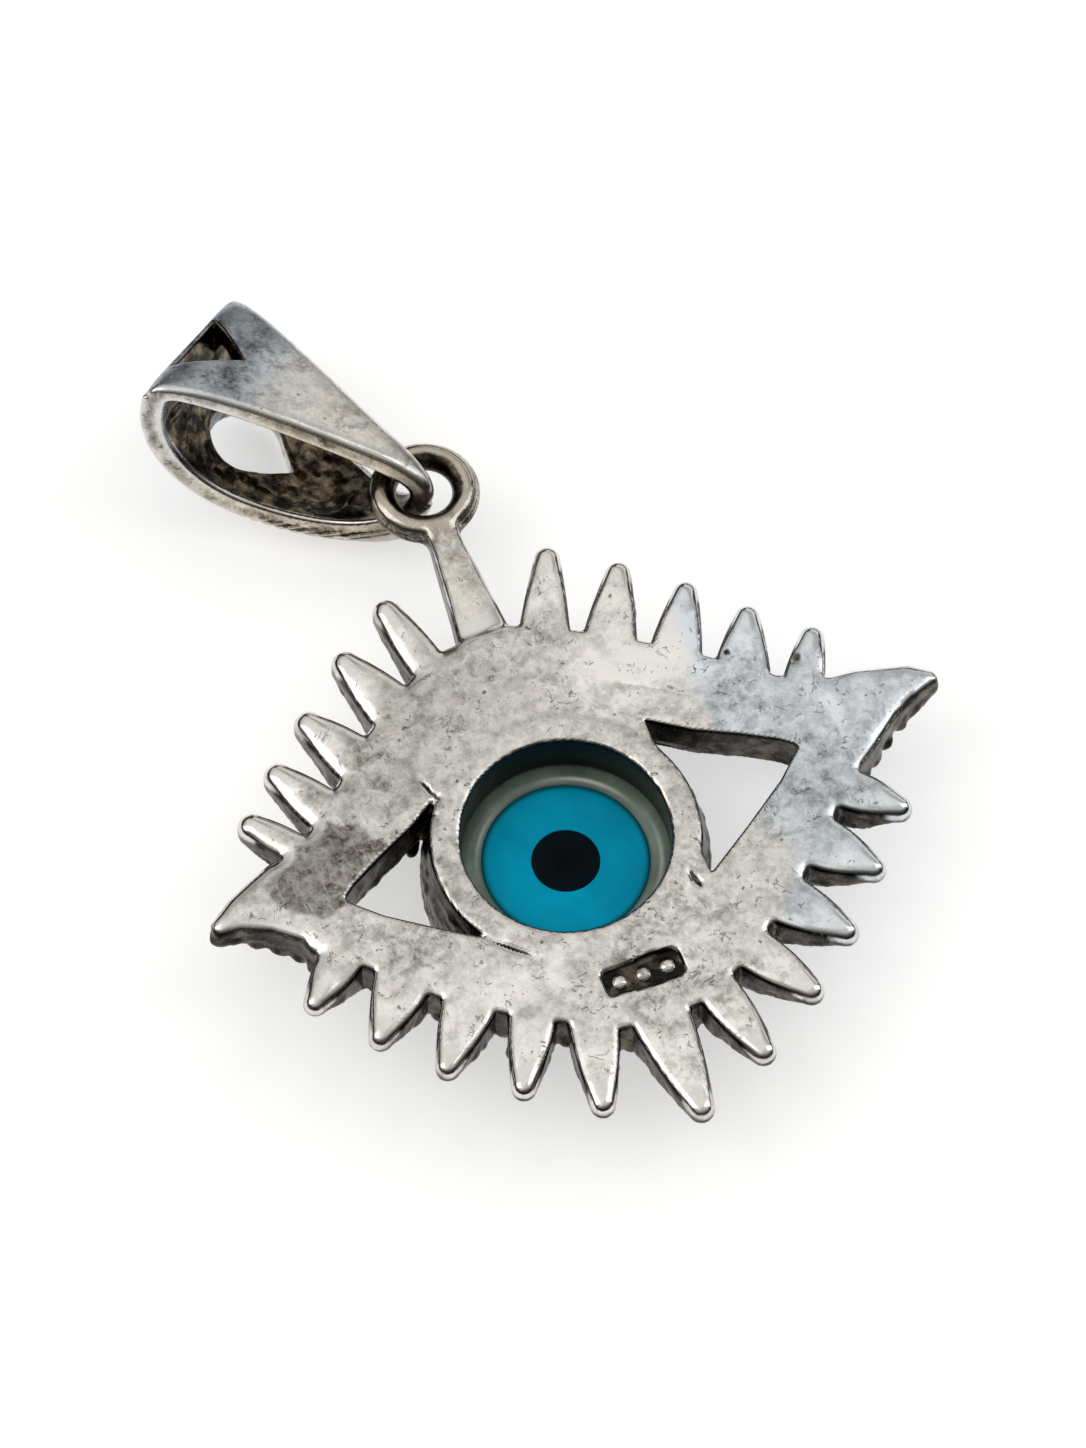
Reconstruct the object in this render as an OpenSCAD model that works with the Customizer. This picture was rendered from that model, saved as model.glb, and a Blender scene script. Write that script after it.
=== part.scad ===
// Evil eye pendant, lying face down on a table: an eye-shaped silver plate with
// lashes, a glass eye in a collar setting, and a pierced bail linked to the top ring.
// Millimetres. +Z is up, out of the back of the plate; +Y points to the ring.
// Z = 0 is the table; X = 0 and Y = 0 are the middle of the whole outline.

/* [Eye plate] */
// Width of the lashes' pattern, which the notches between the lashes follow
eye_w = 29.1; // [27:0.1:30]
// Reach of the right corner from the middle of the lashes
corner_right = 15.1; // [14:0.1:16.5]
// Reach of the left corner from the middle of the lashes
corner_left = 14; // [13.2:0.1:16.5]
// Height of the upper lid's edge above the stone's centre, at the middle
lid_up = 9.2; // [8.4:0.1:10.4]
// Depth of the lower lid's edge below the stone's centre, at the middle
lid_low = 8.1; // [7.4:0.1:9.2]
// Thickness of the plate and its lashes
plate_t = 2; // [1.4:0.1:2.2]
// Height of the plate's back face above the table
back_z = 4.4; // [4:0.1:5]
// Half height of the two windows beside the stone, at their wide end
window_h = 3.5; // [2.6:0.1:4]
// Distance from the stone's centre to the pointed end of each window
window_reach = 9.1; // [8:0.1:9.8]

/* [Lashes] */
// Length of the longest lash, the middle one below
lash_len = 4.2; // [3:0.1:5]
// Thickness of each lash and of the corners at the tip
lash_tip_t = 1; // [0.6:0.1:1.4]
// Radius of each lash's rounded tip
lash_tip_r = 0.48; // [0.3:0.02:0.55]
// Share of the lash's root that is left open as a notch, at each side
root_notch = 0.1; // [0.05:0.01:0.2]
// How far each lash's sides bulge at mid length
lash_bulge = 0.12; // [0:0.02:0.2]

/* [Border on the front] */
// Radius of the beads along both lids
bead_r = 0.48; // [0.3:0.02:0.55]
// Height of the beads below the plate's front face
bead_h = 0.5; // [0.3:0.05:0.8]
// Number of beads along each half of a lid
bead_count = 10; // [6:1:12]
// How far the beads' middles lie inside the lid's edge
bead_inset = 0.75; // [0.6:0.05:1]

/* [Stone setting] */
// How far the stone lies off the middle of the lashes
stone_x = -0.45; // [-0.8:0.05:0.8]
// Radius of the round hole in the back, through which the glass shows
hole_r = 4; // [3.6:0.05:4.1]
// Outer radius of the setting at the back face
setting_r = 5.1; // [4.9:0.05:5.4]
// Outer radius of the setting at the front
collar_r = 5.45; // [5.3:0.05:5.8]
// Depth below the back face at which the setting is widest
flare_d = 1.7; // [1.2:0.1:2.2]
// Depth from the back face to the underside of the ledge behind the glass
ledge_t = 2; // [1.4:0.1:2.4]
// Radius of the opening at the front, inside the rubbed-over lip
lip_r = 4.05; // [3.7:0.05:4.15]
// Thickness of the lip
lip_t = 0.35; // [0.25:0.05:0.6]

/* [Glass eye] */
// Radius of the whole glass
glass_r = 4.4; // [4.25:0.05:4.6]
// Radius of the blue disc
iris_r = 3.17; // [2.6:0.05:3.5]
// Radius of the black pupil
pupil_r = 1.29; // [0.8:0.05:1.8]
// Height of the glass's dome at the front
dome_h = 0.28; // [0.1:0.02:0.34]
// Gap between the glass and its setting
seat_gap = 0.05; // [0.03:0.01:0.08]
// Gap between the glass pieces
glass_gap = 0.03; // [0.02:0.01:0.05]

/* [Sunk panel] */
// Length of the sunk panel
panel_l = 3.1; // [2:0.1:4]
// Width of the sunk panel
panel_w = 1.2; // [0.8:0.1:1.6]
// Depth of the sunk panel
panel_d = 0.22; // [0.1:0.02:0.5]
// Distance of the panel's middle below the stone's centre
panel_y = 6.3; // [5.9:0.1:6.6]
// Distance of the panel's middle right of the lashes' middle
panel_x = 0.2; // [-1:0.1:1]
// Radius of the three dots in the panel
dot_r = 0.24; // [0.15:0.01:0.3]

/* [Neck and ring] */
// How far the neck's root lies off the middle of the lashes
neck_x = -0.25; // [-0.5:0.05:0.5]
// How far the ring lies off the middle of the lashes
ring_x = -0.1; // [-0.3:0.05:0.4]
// Distance of the ring's centre above the stone's centre
ring_y = 16.2; // [15.6:0.1:17]
// Radius of the ring, to the middle of its wire
ring_r = 1.62; // [1.6:0.02:1.8]
// Radius of the ring's wire
wire_r = 0.54; // [0.44:0.02:0.56]
// Depth of the ring's middle below the back face
ring_drop = 0.9; // [0.7:0.05:1.3]
// Width of the neck at the plate
neck_root_w = 2.1; // [1.8:0.1:2.6]
// Width of the neck at the ring
neck_w = 1.15; // [1:0.05:1.6]
// Thickness of the neck
neck_t = 1.5; // [1:0.1:1.8]

/* [Bail] */
// Length of the bail from its tip to the outside of its bend
bail_l = 11.4; // [10.6:0.1:13]
// Height of the back strap's outside above the tip's middle
bail_up = 1.5; // [1.45:0.05:1.9]
// Depth of the front strap's outside below the tip's middle
bail_down = 4.3; // [3.6:0.1:4.5]
// Thickness of the strap
strap_t = 0.9; // [0.7:0.02:0.94]
// Width of the bail at its bend
bend_w = 7; // [5:0.1:7.4]
// Width of the bail at its tip
tip_w = 0.55; // [0.5:0.05:0.75]
// How far the front strap's middle bulges past its edges
front_crown = 0.4; // [0:0.05:0.6]
// How far the front strap's far side bulges past its taper
front_far_w = 1.5; // [1.2:0.1:1.8]
// How far the front strap's far edge curls up
front_far_lift = 0.9; // [0.6:0.1:1.1]
// Turn of the bail away from the pendant's middle line
bail_yaw = 37.5; // [28:0.5:44]
// Rise of the bail from its tip to its bend
bail_pitch = 9.5; // [5:0.5:11]
// Roll of the bail about its own length
bail_roll = 21.5; // [12:0.5:23]
// Half width of the window over the bend
bend_window_w = 1.65; // [1:0.05:2]
// Length of the window over the bend
bend_window_l = 2.3; // [1.5:0.1:2.8]
// Radius of the round end of the drop-shaped window in the front strap
drop_r = 1.45; // [0.8:0.05:1.5]
// Length of the drop-shaped window
drop_l = 3.7; // [3.4:0.1:4]
// Distance of the drop's round end from the outside of the bend
drop_from_bend = 2; // [1.6:0.1:3]
// How far the drop lies off the strap's middle
drop_side = 0.95; // [0.6:0.05:1.2]
// Lean of the drop's walls towards the far side
drop_lean = 25; // [15:1:30]
// Height above the tip's middle at which the window over the bend begins
bend_lip_z = 0.5; // [0.4:0.1:0.9]

/* [Hidden] */
$fn = 64;

// Lash and lid outlines of the two sides: the right one, then the left one mirrored
half_w = eye_w / 2;
SIDES = [0, 1];
// Columns: notch x, notch y, lash tip sideways, lash tip outward. The notches are shares of
// half the eye's width and of the lid's height, the tips shares of lash_len from the lash's root
UPPER_LASHES = [[
    [0.213, 0.883, 0.303, 0.725],
    [0.366, 0.735, 0.333, 0.643],
    [0.509, 0.576, 0.323, 0.574],
    [0.657, 0.394, 0.248, 0.517],
    [0.780, 0.308, 0.252, 0.398]], [
    [0.247, 0.917, 0.164, 0.711],
    [0.398, 0.753, 0.233, 0.613],
    [0.529, 0.568, 0.279, 0.529],
    [0.646, 0.404, 0.284, 0.514],
    [0.744, 0.328, 0.308, 0.382]]];
LOWER_LASHES = [[
    [0.240, 0.921, 0.187, 0.770],
    [0.366, 0.765, 0.385, 0.608],
    [0.510, 0.565, 0.430, 0.519],
    [0.649, 0.323, 0.406, 0.449],
    [0.760, 0.140, 0.425, 0.375]], [
    [0.230, 0.880, 0.206, 0.782],
    [0.361, 0.741, 0.332, 0.639],
    [0.504, 0.550, 0.426, 0.529],
    [0.636, 0.305, 0.403, 0.470],
    [0.753, 0.131, 0.401, 0.338]]];
// First notches beside the neck and beside the middle lower lash, as shares
UPPER_START = [[0.063, 1], [0.126, 1]];
LOWER_START = [[0.109, 1.019], [0.085, 1.012]];
// Corner outlines. Columns: share of the way from the last notch to the tip, share of lid_up
CORNER_TOP = [[[0.25, 0.282], [0.50, 0.253], [0.80, 0.223]], [[0.15, 0.302], [0.43, 0.254], [0.72, 0.205]]];
CORNER_BOTTOM = [[[0.80, 0.105], [0.46, 0.041], [0.10, -0.073]], [[0.72, 0.080], [0.40, 0.032], [0.10, -0.055]]];
CORNER_TIP = [0.152, 0.118];
// Window outline: shares of window_reach and of window_h
WINDOW = [[0.45, 1], [0.62, 0.70], [0.79, 0.48], [0.94, 0.26], [1, 0.13],
    [0.87, -0.19], [0.66, -0.58], [0.45, -0.95]];
// How far each lash's root reaches into the plate
root_sink = 0.5;
// Sideways lean of the middle lower lash, for each unit of its length
bottom_lean = 0.02;
// Straight sides end this share of the radius from a round end's middle, just inside its edge
inside_share = 0.93;

function last(list) = list[len(list) - 1];
function notches(start, lashes, height) =
    [for (row = concat([start], lashes)) [row[0] * half_w, row[1] * height]];
upper_notches = [for (side = SIDES) notches(UPPER_START[side], UPPER_LASHES[side], lid_up)];
lower_notches = [for (side = SIDES) notches(LOWER_START[side], LOWER_LASHES[side], -lid_low)];
corner_reach = [corner_right, corner_left];
corner_start = [for (side = SIDES) last(upper_notches[side])[0]];
function corner(points, side) = [for (p = points)
    [corner_start[side] + (corner_reach[side] - corner_start[side]) * p[0], p[1] * lid_up]];
corner_tip = [for (side = SIDES) [corner_reach[side] - lash_tip_r, CORNER_TIP[side] * lid_up]];
function half_edge(side) = concat(upper_notches[side], corner(CORNER_TOP[side], side), [corner_tip[side]],
    corner(CORNER_BOTTOM[side], side), [for (i = [len(lower_notches[side]) - 1:-1:0]) lower_notches[side][i]]);
function middle(a, b) = (a + b) / 2;
function unit(v) = v / norm(v);

// The bail's tip lies inside the ring: past its centre and a little to one side, as shares
// of the ring's hole
ring_hole = ring_r - wire_r;
TIP_SHARES = [0.54, 0.39];
tip_reach = TIP_SHARES[0] * ring_hole;
tip_side = TIP_SHARES[1] * ring_hole;

// Bail outline, seen from its side: u runs from the tip to the bend, v upward.
// Four quarter ovals; columns: where the strap is farthest out (share of length), squareness
BACK_STRAP = [0.268, 2.92];
FRONT_STRAP = [0.566, 2];
stations = 56;
taper_power = 1.24;
// Section of the strap. Columns: share of thickness from inside, share of half width
SECTION = [[0, -0.92], [0.15, -1], [0.8, -1], [1, -0.93], [1, -0.45], [1, 0], [1, 0.45],
    [1, 0.93], [0.8, 1], [0.15, 1], [0, 0.92]];
function power(x, n) = sign(x) * pow(abs(x), n);
function oval(a, length, height, share, squareness) =
    let (far = share * length, reach = cos(a) < 0 ? far : length - far)
    [far + reach * power(cos(a), 2 / squareness), height * power(sin(a), 2 / squareness)];
function strap_side(a, inset) =
    let (length = bail_l - 2 * inset,
        strap = sin(a) >= 0 ? BACK_STRAP : FRONT_STRAP,
        height = (sin(a) >= 0 ? bail_up : bail_down) - inset,
        share = (strap[0] * bail_l - inset) / length)
    oval(a, length, height, share, strap[1]) + [inset, 0];
function half_width(u) = (tip_w + (bend_w - tip_w) * pow(u / bail_l, taper_power)) / 2;
function crown(a, share) = front_crown * max(0, -sin(a)) * (1 - share * share);
// The far side of the front strap: share of its bulge and of its lift
function far(a, share) = share < 0 ? pow(max(0, -sin(a)), 2) : 0;
function strap_point(a, thickness_share, width_share) =
    let (outside = strap_side(a, 0),
        inside = strap_side(a, strap_t),
        bulge = thickness_share == 1 ? crown(a, width_share) : 0,
        wide = far(a, width_share),
        p = inside + (outside - inside) * thickness_share + unit(outside - inside) * bulge)
    [p[0] - tip_reach, tip_side + width_share * (half_width(outside[0]) + front_far_w * wide),
        p[1] + front_far_lift * wide * width_share * width_share];
bail_points = [for (i = [0:stations - 1]) for (s = SECTION)
    strap_point(360 * (i + 0.5) / stations, s[0], s[1])];
// Turned place of one bail point about the ring's centre
function rolled_up(p) = sin(bail_roll) * p[1] + cos(bail_roll) * p[2];
function rolled_side(p) = cos(bail_roll) * p[1] - sin(bail_roll) * p[2];
function turned_y(p) = cos(bail_yaw) * (cos(bail_pitch) * p[0] - sin(bail_pitch) * rolled_up(p))
    - sin(bail_yaw) * rolled_side(p);
function turned_z(p) = sin(bail_pitch) * p[0] + cos(bail_pitch) * rolled_up(p);
ring_z = back_z - ring_drop;
// Height of the bail's middle when its lowest point rests on the table
bail_z = -min([for (p = bail_points) turned_z(p)]);

// Middle of the whole outline, from the lowest lash tip to the bail's far corner
top_y = ring_y + max([for (p = bail_points) turned_y(p)]);
bottom_right = lower_notches[0][0];
bottom_left = [-lower_notches[1][0][0], lower_notches[1][0][1]];
bottom_tip = middle(bottom_left, bottom_right) + (lash_len - lash_tip_r) * unit([bottom_lean, -1]);
bottom_y = bottom_tip[1] - lash_tip_r;
middle_y = (top_y + bottom_y) / 2;
middle_x = (corner_right - corner_left) / 2;

front_z = back_z - plate_t;
seat_top = back_z - ledge_t;
glass_top = seat_top - seat_gap;
glass_low = lip_t + seat_gap;
over = 0.5;

// One lash between notches a and b, thinner towards its tip on the side that faces down
module lash(a, b, tip) {
    root = middle(a, b);
    along = unit(tip - root);
    side = [along[1], -along[0]] * ((b - a) * [along[1], -along[0]] > 0 ? 1 : -1);
    root_a = a + (b - a) * root_notch - along * root_sink;
    root_b = b - (b - a) * root_notch - along * root_sink;
    slope = atan((plate_t - lash_tip_t) / norm(tip - root));
    shoulder = side * lash_tip_r * inside_share;
    bulge = side * lash_bulge;
    difference() {
        translate([0, 0, front_z]) linear_extrude(plate_t) {
            polygon([root_a, middle(root_a, tip - shoulder) - bulge, tip - shoulder,
                tip + shoulder, middle(root_b, tip + shoulder) + bulge, root_b]);
            translate(tip) circle(lash_tip_r, $fn = 24);
        }
        translate([root[0], root[1], front_z]) rotate([0, -slope, atan2(along[1], along[0])])
            translate([0, -lash_len, -lash_len]) cube([2 * lash_len, 2 * lash_len, lash_len]);
    }
}

module lash_row(rows, notches, outward) {
    for (i = [0:len(rows) - 1]) {
        way = [rows[i][2], outward * rows[i][3]];
        reach = lash_len * norm(way) - lash_tip_r;
        lash(notches[i], notches[i + 1], middle(notches[i], notches[i + 1]) + reach * unit(way));
    }
}

module lashes() {
    for (side = SIDES) mirror([side, 0]) {
        lash_row(UPPER_LASHES[side], upper_notches[side], 1);
        lash_row(LOWER_LASHES[side], lower_notches[side], -1);
    }
    lash(bottom_left, bottom_right, bottom_tip);
}

// One half of the plate in the plane, out to its corner
module half_plate_2d(side) {
    difference() {
        union() {
            polygon(concat([[0, lid_up]], half_edge(side), [[0, -lid_low]]));
            translate(corner_tip[side]) circle(lash_tip_r, $fn = 24);
        }
        polygon([for (p = WINDOW) [p[0] * window_reach, p[1] * window_h]]);
    }
}

// Both halves, thinner towards each corner on the side that faces down
module plate() {
    for (side = SIDES) mirror([side, 0]) difference() {
        translate([0, 0, front_z]) linear_extrude(plate_t) half_plate_2d(side);
        slope = atan((plate_t - lash_tip_t) / (corner_tip[side][0] - corner_start[side]));
        translate([corner_start[side], 0, front_z]) rotate([0, -slope, 0])
            translate([0, -lid_up, -lid_up]) cube([lid_up, 2 * lid_up, lid_up]);
    }
}

// Beads along the lids, on the side that faces down
module bead_border() {
    for (side = SIDES) mirror([side, 0]) for (i = [0:bead_count - 1]) {
        x = min(corner_start) * (i + 0.5) / bead_count;
        translate([x, lookup(x, upper_notches[side]) - bead_inset, front_z - bead_h])
            cylinder(r = bead_r, h = bead_h + over, $fn = 20);
        translate([x, lookup(x, lower_notches[side]) + bead_inset, front_z - bead_h])
            cylinder(r = bead_r, h = bead_h + over, $fn = 20);
    }
}

module setting() {
    flare_z = back_z - flare_d;
    rotate_extrude() polygon([
        [hole_r, back_z], [setting_r, back_z], [collar_r, flare_z], [collar_r, lip_t],
        [collar_r - lip_t, 0], [lip_r, 0], [lip_r, lip_t], [glass_r + seat_gap, lip_t],
        [glass_r + seat_gap, seat_top], [hole_r, seat_top]]);
}

module neck() {
    neck_z = ring_z - neck_t / 2;
    translate([0, 0, neck_z]) linear_extrude(neck_t) polygon([
        [neck_x - neck_root_w / 2, lid_up - over], [neck_x + neck_root_w / 2, lid_up - over],
        [ring_x + neck_w / 2, ring_y - ring_r], [ring_x - neck_w / 2, ring_y - ring_r]]);
}

module ring() {
    translate([ring_x, ring_y, ring_z]) rotate_extrude() translate([ring_r, 0]) circle(wire_r, $fn = 32);
}

// Sunk panel with three plain dots that end below the back face
module panel() {
    straight = panel_l - panel_w;
    dot_top = back_z - panel_d / 3;
    difference() {
        translate([0, 0, back_z - panel_d]) linear_extrude(panel_d + over) {
            square([straight, panel_w], center = true);
            for (side = [-1, 1]) translate([side * straight / 2, 0]) circle(panel_w / 2, $fn = 32);
        }
        for (side = [-1, 0, 1])
            translate([side * straight / 2, 0, 0]) cylinder(r = dot_r, h = dot_top, $fn = 20);
    }
}

module silver_eye() {
    color([0.72, 0.70, 0.66]) translate([-middle_x, -middle_y, 0]) difference() {
        union() {
            difference() {
                union() {
                    plate();
                    lashes();
                    bead_border();
                }
                translate([stone_x, 0, -over]) cylinder(r = glass_r + seat_gap, h = back_z + 2 * over);
            }
            translate([stone_x, 0, 0]) setting();
            neck();
            ring();
        }
        translate([panel_x, -panel_y, 0]) panel();
    }
}

// The strap as one closed skin round the loop
module strap() {
    m = len(SECTION);
    faces = [for (i = [0:stations - 1]) for (j = [0:m - 1])
        let (next = (i + 1) % stations, k = (j + 1) % m)
        [i * m + j, i * m + k, next * m + k, next * m + j]];
    polyhedron(points = bail_points, faces = faces, convexity = 6);
}

module bail_windows() {
    bend_u = bail_l - tip_reach;
    edge_u = -strap_t / 4;
    tail = drop_l - drop_r;
    touch_u = -inside_share * drop_r * drop_r / tail;
    touch_y = inside_share * drop_r * sqrt(1 - pow(drop_r / tail, 2));
    // Over the bend: a wedge that opens towards the outside
    translate([bend_u, tip_side, bend_lip_z]) linear_extrude(bail_up + over) polygon([
        [-bend_window_l, 0], [edge_u, bend_window_w], [over, bend_window_w],
        [over, -bend_window_w], [edge_u, -bend_window_w]]);
    // Through the front strap: a drop that points to the tip
    translate([bend_u - drop_from_bend - drop_r, tip_side - drop_side, strap_t - bail_down])
        rotate([-drop_lean, 0, 0]) translate([0, 0, -bail_down]) linear_extrude(1.5 * bail_down) {
            circle(drop_r, $fn = 40);
            polygon([[-tail, 0], [touch_u, touch_y], [touch_u, -touch_y]]);
        }
}

module bail() {
    color([0.68, 0.65, 0.60]) translate([ring_x - middle_x, ring_y - middle_y, bail_z])
        rotate([bail_roll, -bail_pitch, 90 + bail_yaw]) difference() {
            strap();
            bail_windows();
        }
}

// Height of the domed front of the glass at radius r
function dome_z(r) = glass_low - dome_h * max(0, 1 - pow(r / (lip_r - seat_gap), 2));

// A round glass piece between two radii
module glass_ring(inner, outer) {
    steps = 5;
    translate([stone_x - middle_x, -middle_y, 0]) rotate_extrude() polygon(concat(
        [[outer, glass_top], [inner, glass_top]],
        [for (i = [0:steps]) let (r = inner + (outer - inner) * i / steps) [r, dome_z(r)]]));
}

module glass_base() {
    color([0.74, 0.82, 0.78]) glass_ring(iris_r + glass_gap, glass_r);
}

module glass_iris() {
    color([0.0, 0.52, 0.66]) glass_ring(pupil_r + glass_gap, iris_r);
}

module glass_pupil() {
    color([0.04, 0.05, 0.07]) glass_ring(0, pupil_r);
}

silver_eye();
bail();
glass_base();
glass_iris();
glass_pupil();
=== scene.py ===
"""Evil eye pendant lying face down: oxidised silver eye with lashes, glass eye, ring and pierced bail."""
import itertools
import math

import bpy
import numpy as np
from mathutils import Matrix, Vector


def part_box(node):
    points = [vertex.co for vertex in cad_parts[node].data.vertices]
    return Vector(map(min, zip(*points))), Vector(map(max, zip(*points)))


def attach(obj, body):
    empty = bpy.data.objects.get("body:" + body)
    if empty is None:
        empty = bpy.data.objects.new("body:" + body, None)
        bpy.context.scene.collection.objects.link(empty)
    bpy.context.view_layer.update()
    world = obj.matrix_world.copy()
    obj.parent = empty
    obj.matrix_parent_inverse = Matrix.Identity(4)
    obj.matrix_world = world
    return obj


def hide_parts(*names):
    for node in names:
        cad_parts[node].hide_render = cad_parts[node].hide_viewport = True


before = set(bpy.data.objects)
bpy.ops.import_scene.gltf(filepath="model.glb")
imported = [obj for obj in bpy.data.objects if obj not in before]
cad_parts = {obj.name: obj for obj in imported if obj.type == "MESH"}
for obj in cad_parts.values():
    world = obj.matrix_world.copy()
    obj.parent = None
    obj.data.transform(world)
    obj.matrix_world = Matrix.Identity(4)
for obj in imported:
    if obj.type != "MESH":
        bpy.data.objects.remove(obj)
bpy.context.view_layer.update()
MM = 0.001

# Image of the photograph, and the camera that took it
IMAGE_HEIGHT = 1448
FOCAL_PIXELS = 6360
SENSOR_MM = 36
CAMERA_ELEVATION = math.radians(62.2)
CAMERA_AZIMUTH = math.radians(-20.9)
CAMERA_DISTANCE = 0.240
# Where the camera looks, from the stone's centre, on the plate's back face
AIM_MM = (0.870, 4.690)

# Sizes taken from the solids, in millimetres
eye_low, eye_high = (np.array(corner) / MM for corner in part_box("silver_eye"))
pupil_low, pupil_high = (np.array(corner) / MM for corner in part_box("glass_pupil"))
iris_low, iris_high = (np.array(corner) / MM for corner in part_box("glass_iris"))
glass_low, glass_high = (np.array(corner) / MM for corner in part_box("glass_base"))
BACK_Z = eye_high[2]
STONE = (pupil_low + pupil_high)[:2] / 2
PUPIL_R = (pupil_high - pupil_low)[0] / 2
IRIS_R = (iris_high - iris_low)[0] / 2
GLASS_R = (glass_high - glass_low)[0] / 2
GLASS_TOP = glass_high[2]

# Sizes of the eye plate, as in the solids
STONE_X = -0.45
EYE_W = 29.1
LID_UP = 9.2
LID_LOW = 8.1
PLATE_T = 2.0
WINDOW_H = 3.5
WINDOW_REACH = 9.1
LASH_LEN = 4.2
LASH_TIP_T = 1.05
LASH_TIP_R = 0.48
ROOT_NOTCH = 0.1
ROOT_SINK = 0.5
BOTTOM_LEAN = 0.02
# How far round ends reach out past the solids' sharp-edged ones, to look as long
EDGE_GROW = 0.10
HOLE_R = 4.0
SETTING_R = 5.1
COLLAR_R = 5.45
FLARE_D = 1.7
LEDGE_T = 2.0
LIP_T = 0.35
PANEL_L = 3.1
PANEL_W = 1.2
PANEL_D = 0.24
PANEL = (0.2, -6.3)
DOT_SPACING = 0.95
DOT_R = 0.26
NECK_X = -0.25
NECK_ROOT_W = 2.1
NECK_W = 1.15
RING_X = -0.1
RING_Y = 16.2
RING_R = 1.62
WIRE_R = 0.54
RING_DROP = 0.9
# Middle of the lashes' pattern in the row frame
MIDDLE = STONE - np.array([STONE_X, 0.0])

# Rounded edges: the plate's back and front, what the corners and the lash tips add, and the others
BACK_EDGE_R = 0.15
FRONT_EDGE_R = 0.13
CORNER_BACK_R = 0.20
CORNER_FRONT_R = 0.25
TIP_BACK_R = 0.18
WINDOW_EDGE_R = 0.12
COLLAR_EDGE_R = 0.25
HOLE_EDGE_R = 0.13
SOLDER_R = 0.16
# Width and depth of the rolled edge: everywhere, added on the upper left, added on the right
ROLL_W = (0.36, 0.50, 0.22)
ROLL_D = (0.10, 0.13, 0.07)
BEAD_R = 0.42
BEAD_SPACING = 0.82
BEAD_INSET = 0.32

# Lashes of the right side, then of the left side mirrored. Columns: notch x, notch y (shares of
# half the eye's width and of the lid's height), lash tip sideways and outward (shares of LASH_LEN)
SIDES = (1, -1)
CORNER_REACH = (15.1, 14.0)
UPPER_LASHES = [[
    [0.213, 0.883, 0.303, 0.725],
    [0.366, 0.735, 0.333, 0.643],
    [0.509, 0.576, 0.323, 0.574],
    [0.657, 0.394, 0.248, 0.517],
    [0.780, 0.308, 0.252, 0.398]], [
    [0.247, 0.917, 0.164, 0.711],
    [0.398, 0.753, 0.233, 0.613],
    [0.529, 0.568, 0.279, 0.529],
    [0.646, 0.404, 0.284, 0.514],
    [0.744, 0.328, 0.308, 0.382]]]
LOWER_LASHES = [[
    [0.240, 0.921, 0.187, 0.770],
    [0.366, 0.765, 0.385, 0.608],
    [0.510, 0.565, 0.430, 0.519],
    [0.649, 0.323, 0.406, 0.449],
    [0.760, 0.140, 0.425, 0.375]], [
    [0.230, 0.880, 0.206, 0.782],
    [0.361, 0.741, 0.332, 0.639],
    [0.504, 0.550, 0.426, 0.529],
    [0.636, 0.305, 0.403, 0.470],
    [0.753, 0.131, 0.401, 0.338]]]
# Lashes' round tip radius, bulge of the sides, added length and thickness at the tip
UPPER_FORM = [[0.50, 0.03, 0.18, 1.2], [0.57, 0.04, 0.20, 1.2]]
LOWER_FORM = [[0.50, 0.09, 0.0, 0.85], [0.47, 0.06, 0.0, 0.85]]
UPPER_START = [[0.063, 1], [0.126, 1]]
LOWER_START = [[0.109, 1.019], [0.085, 1.012]]
# Corner outlines. Columns: share of the way from the last notch to the tip, share of LID_UP
CORNER_TOP = [[[0.25, 0.300], [0.50, 0.277], [0.80, 0.249]],
              [[0.15, 0.320], [0.43, 0.277], [0.72, 0.229]]]
CORNER_BOTTOM = [[[0.80, 0.105], [0.46, 0.041], [0.10, -0.073]],
                 [[0.72, 0.080], [0.40, 0.032], [0.10, -0.055]]]
CORNER_TIP = [0.163, 0.130]
WINDOW = [[0.45, 1], [0.62, 0.70], [0.79, 0.48], [0.94, 0.26],
          [1, 0.13], [0.87, -0.19], [0.66, -0.58], [0.45, -0.95]]

# Wear on the back face, from the middle of the lashes' pattern. Dents: x, y, radius, depth.
# The first two have painted shade inside
DENTS = [[8.05, 5.05, 0.20, 0.05], [10.45, 3.9, 0.24, 0.10], [-4.35, -6.46, 0.75, -0.05],
         [10.1, -1.2, 0.34, -0.04], [3.1, -2.9, 0.30, -0.03], [-6.9, 5.9, 0.20, 0.05]]
# Fall of the camber at the corners and at the lids, and ripples: height, size, noise seed
CAMBER = (0.07, 0.04)
RIPPLES = [[0.022, 2.4, 3], [0.012, 1.1, 4], [0.004, 0.5, 5]]
# Cracks and seams: from x, y, to x, y, half width, depth
CRACKS = [[3.35, -3.01, 3.46, -3.73, 0.09, 0.14], [-4.64, -3.07, -3.3, -4.3, 0.08, 0.13],
          [-4.74, 4.12, -4.34, 3.06, 0.10, 0.12], [3.25, 5.63, 6.1, 3.98, 0.05, 0.05],
          [-5.3, 2.9, -4.5, 2.4, 0.07, 0.08], [8.4, 2.9, 9.3, 4.6, 0.04, 0.04]]
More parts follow.
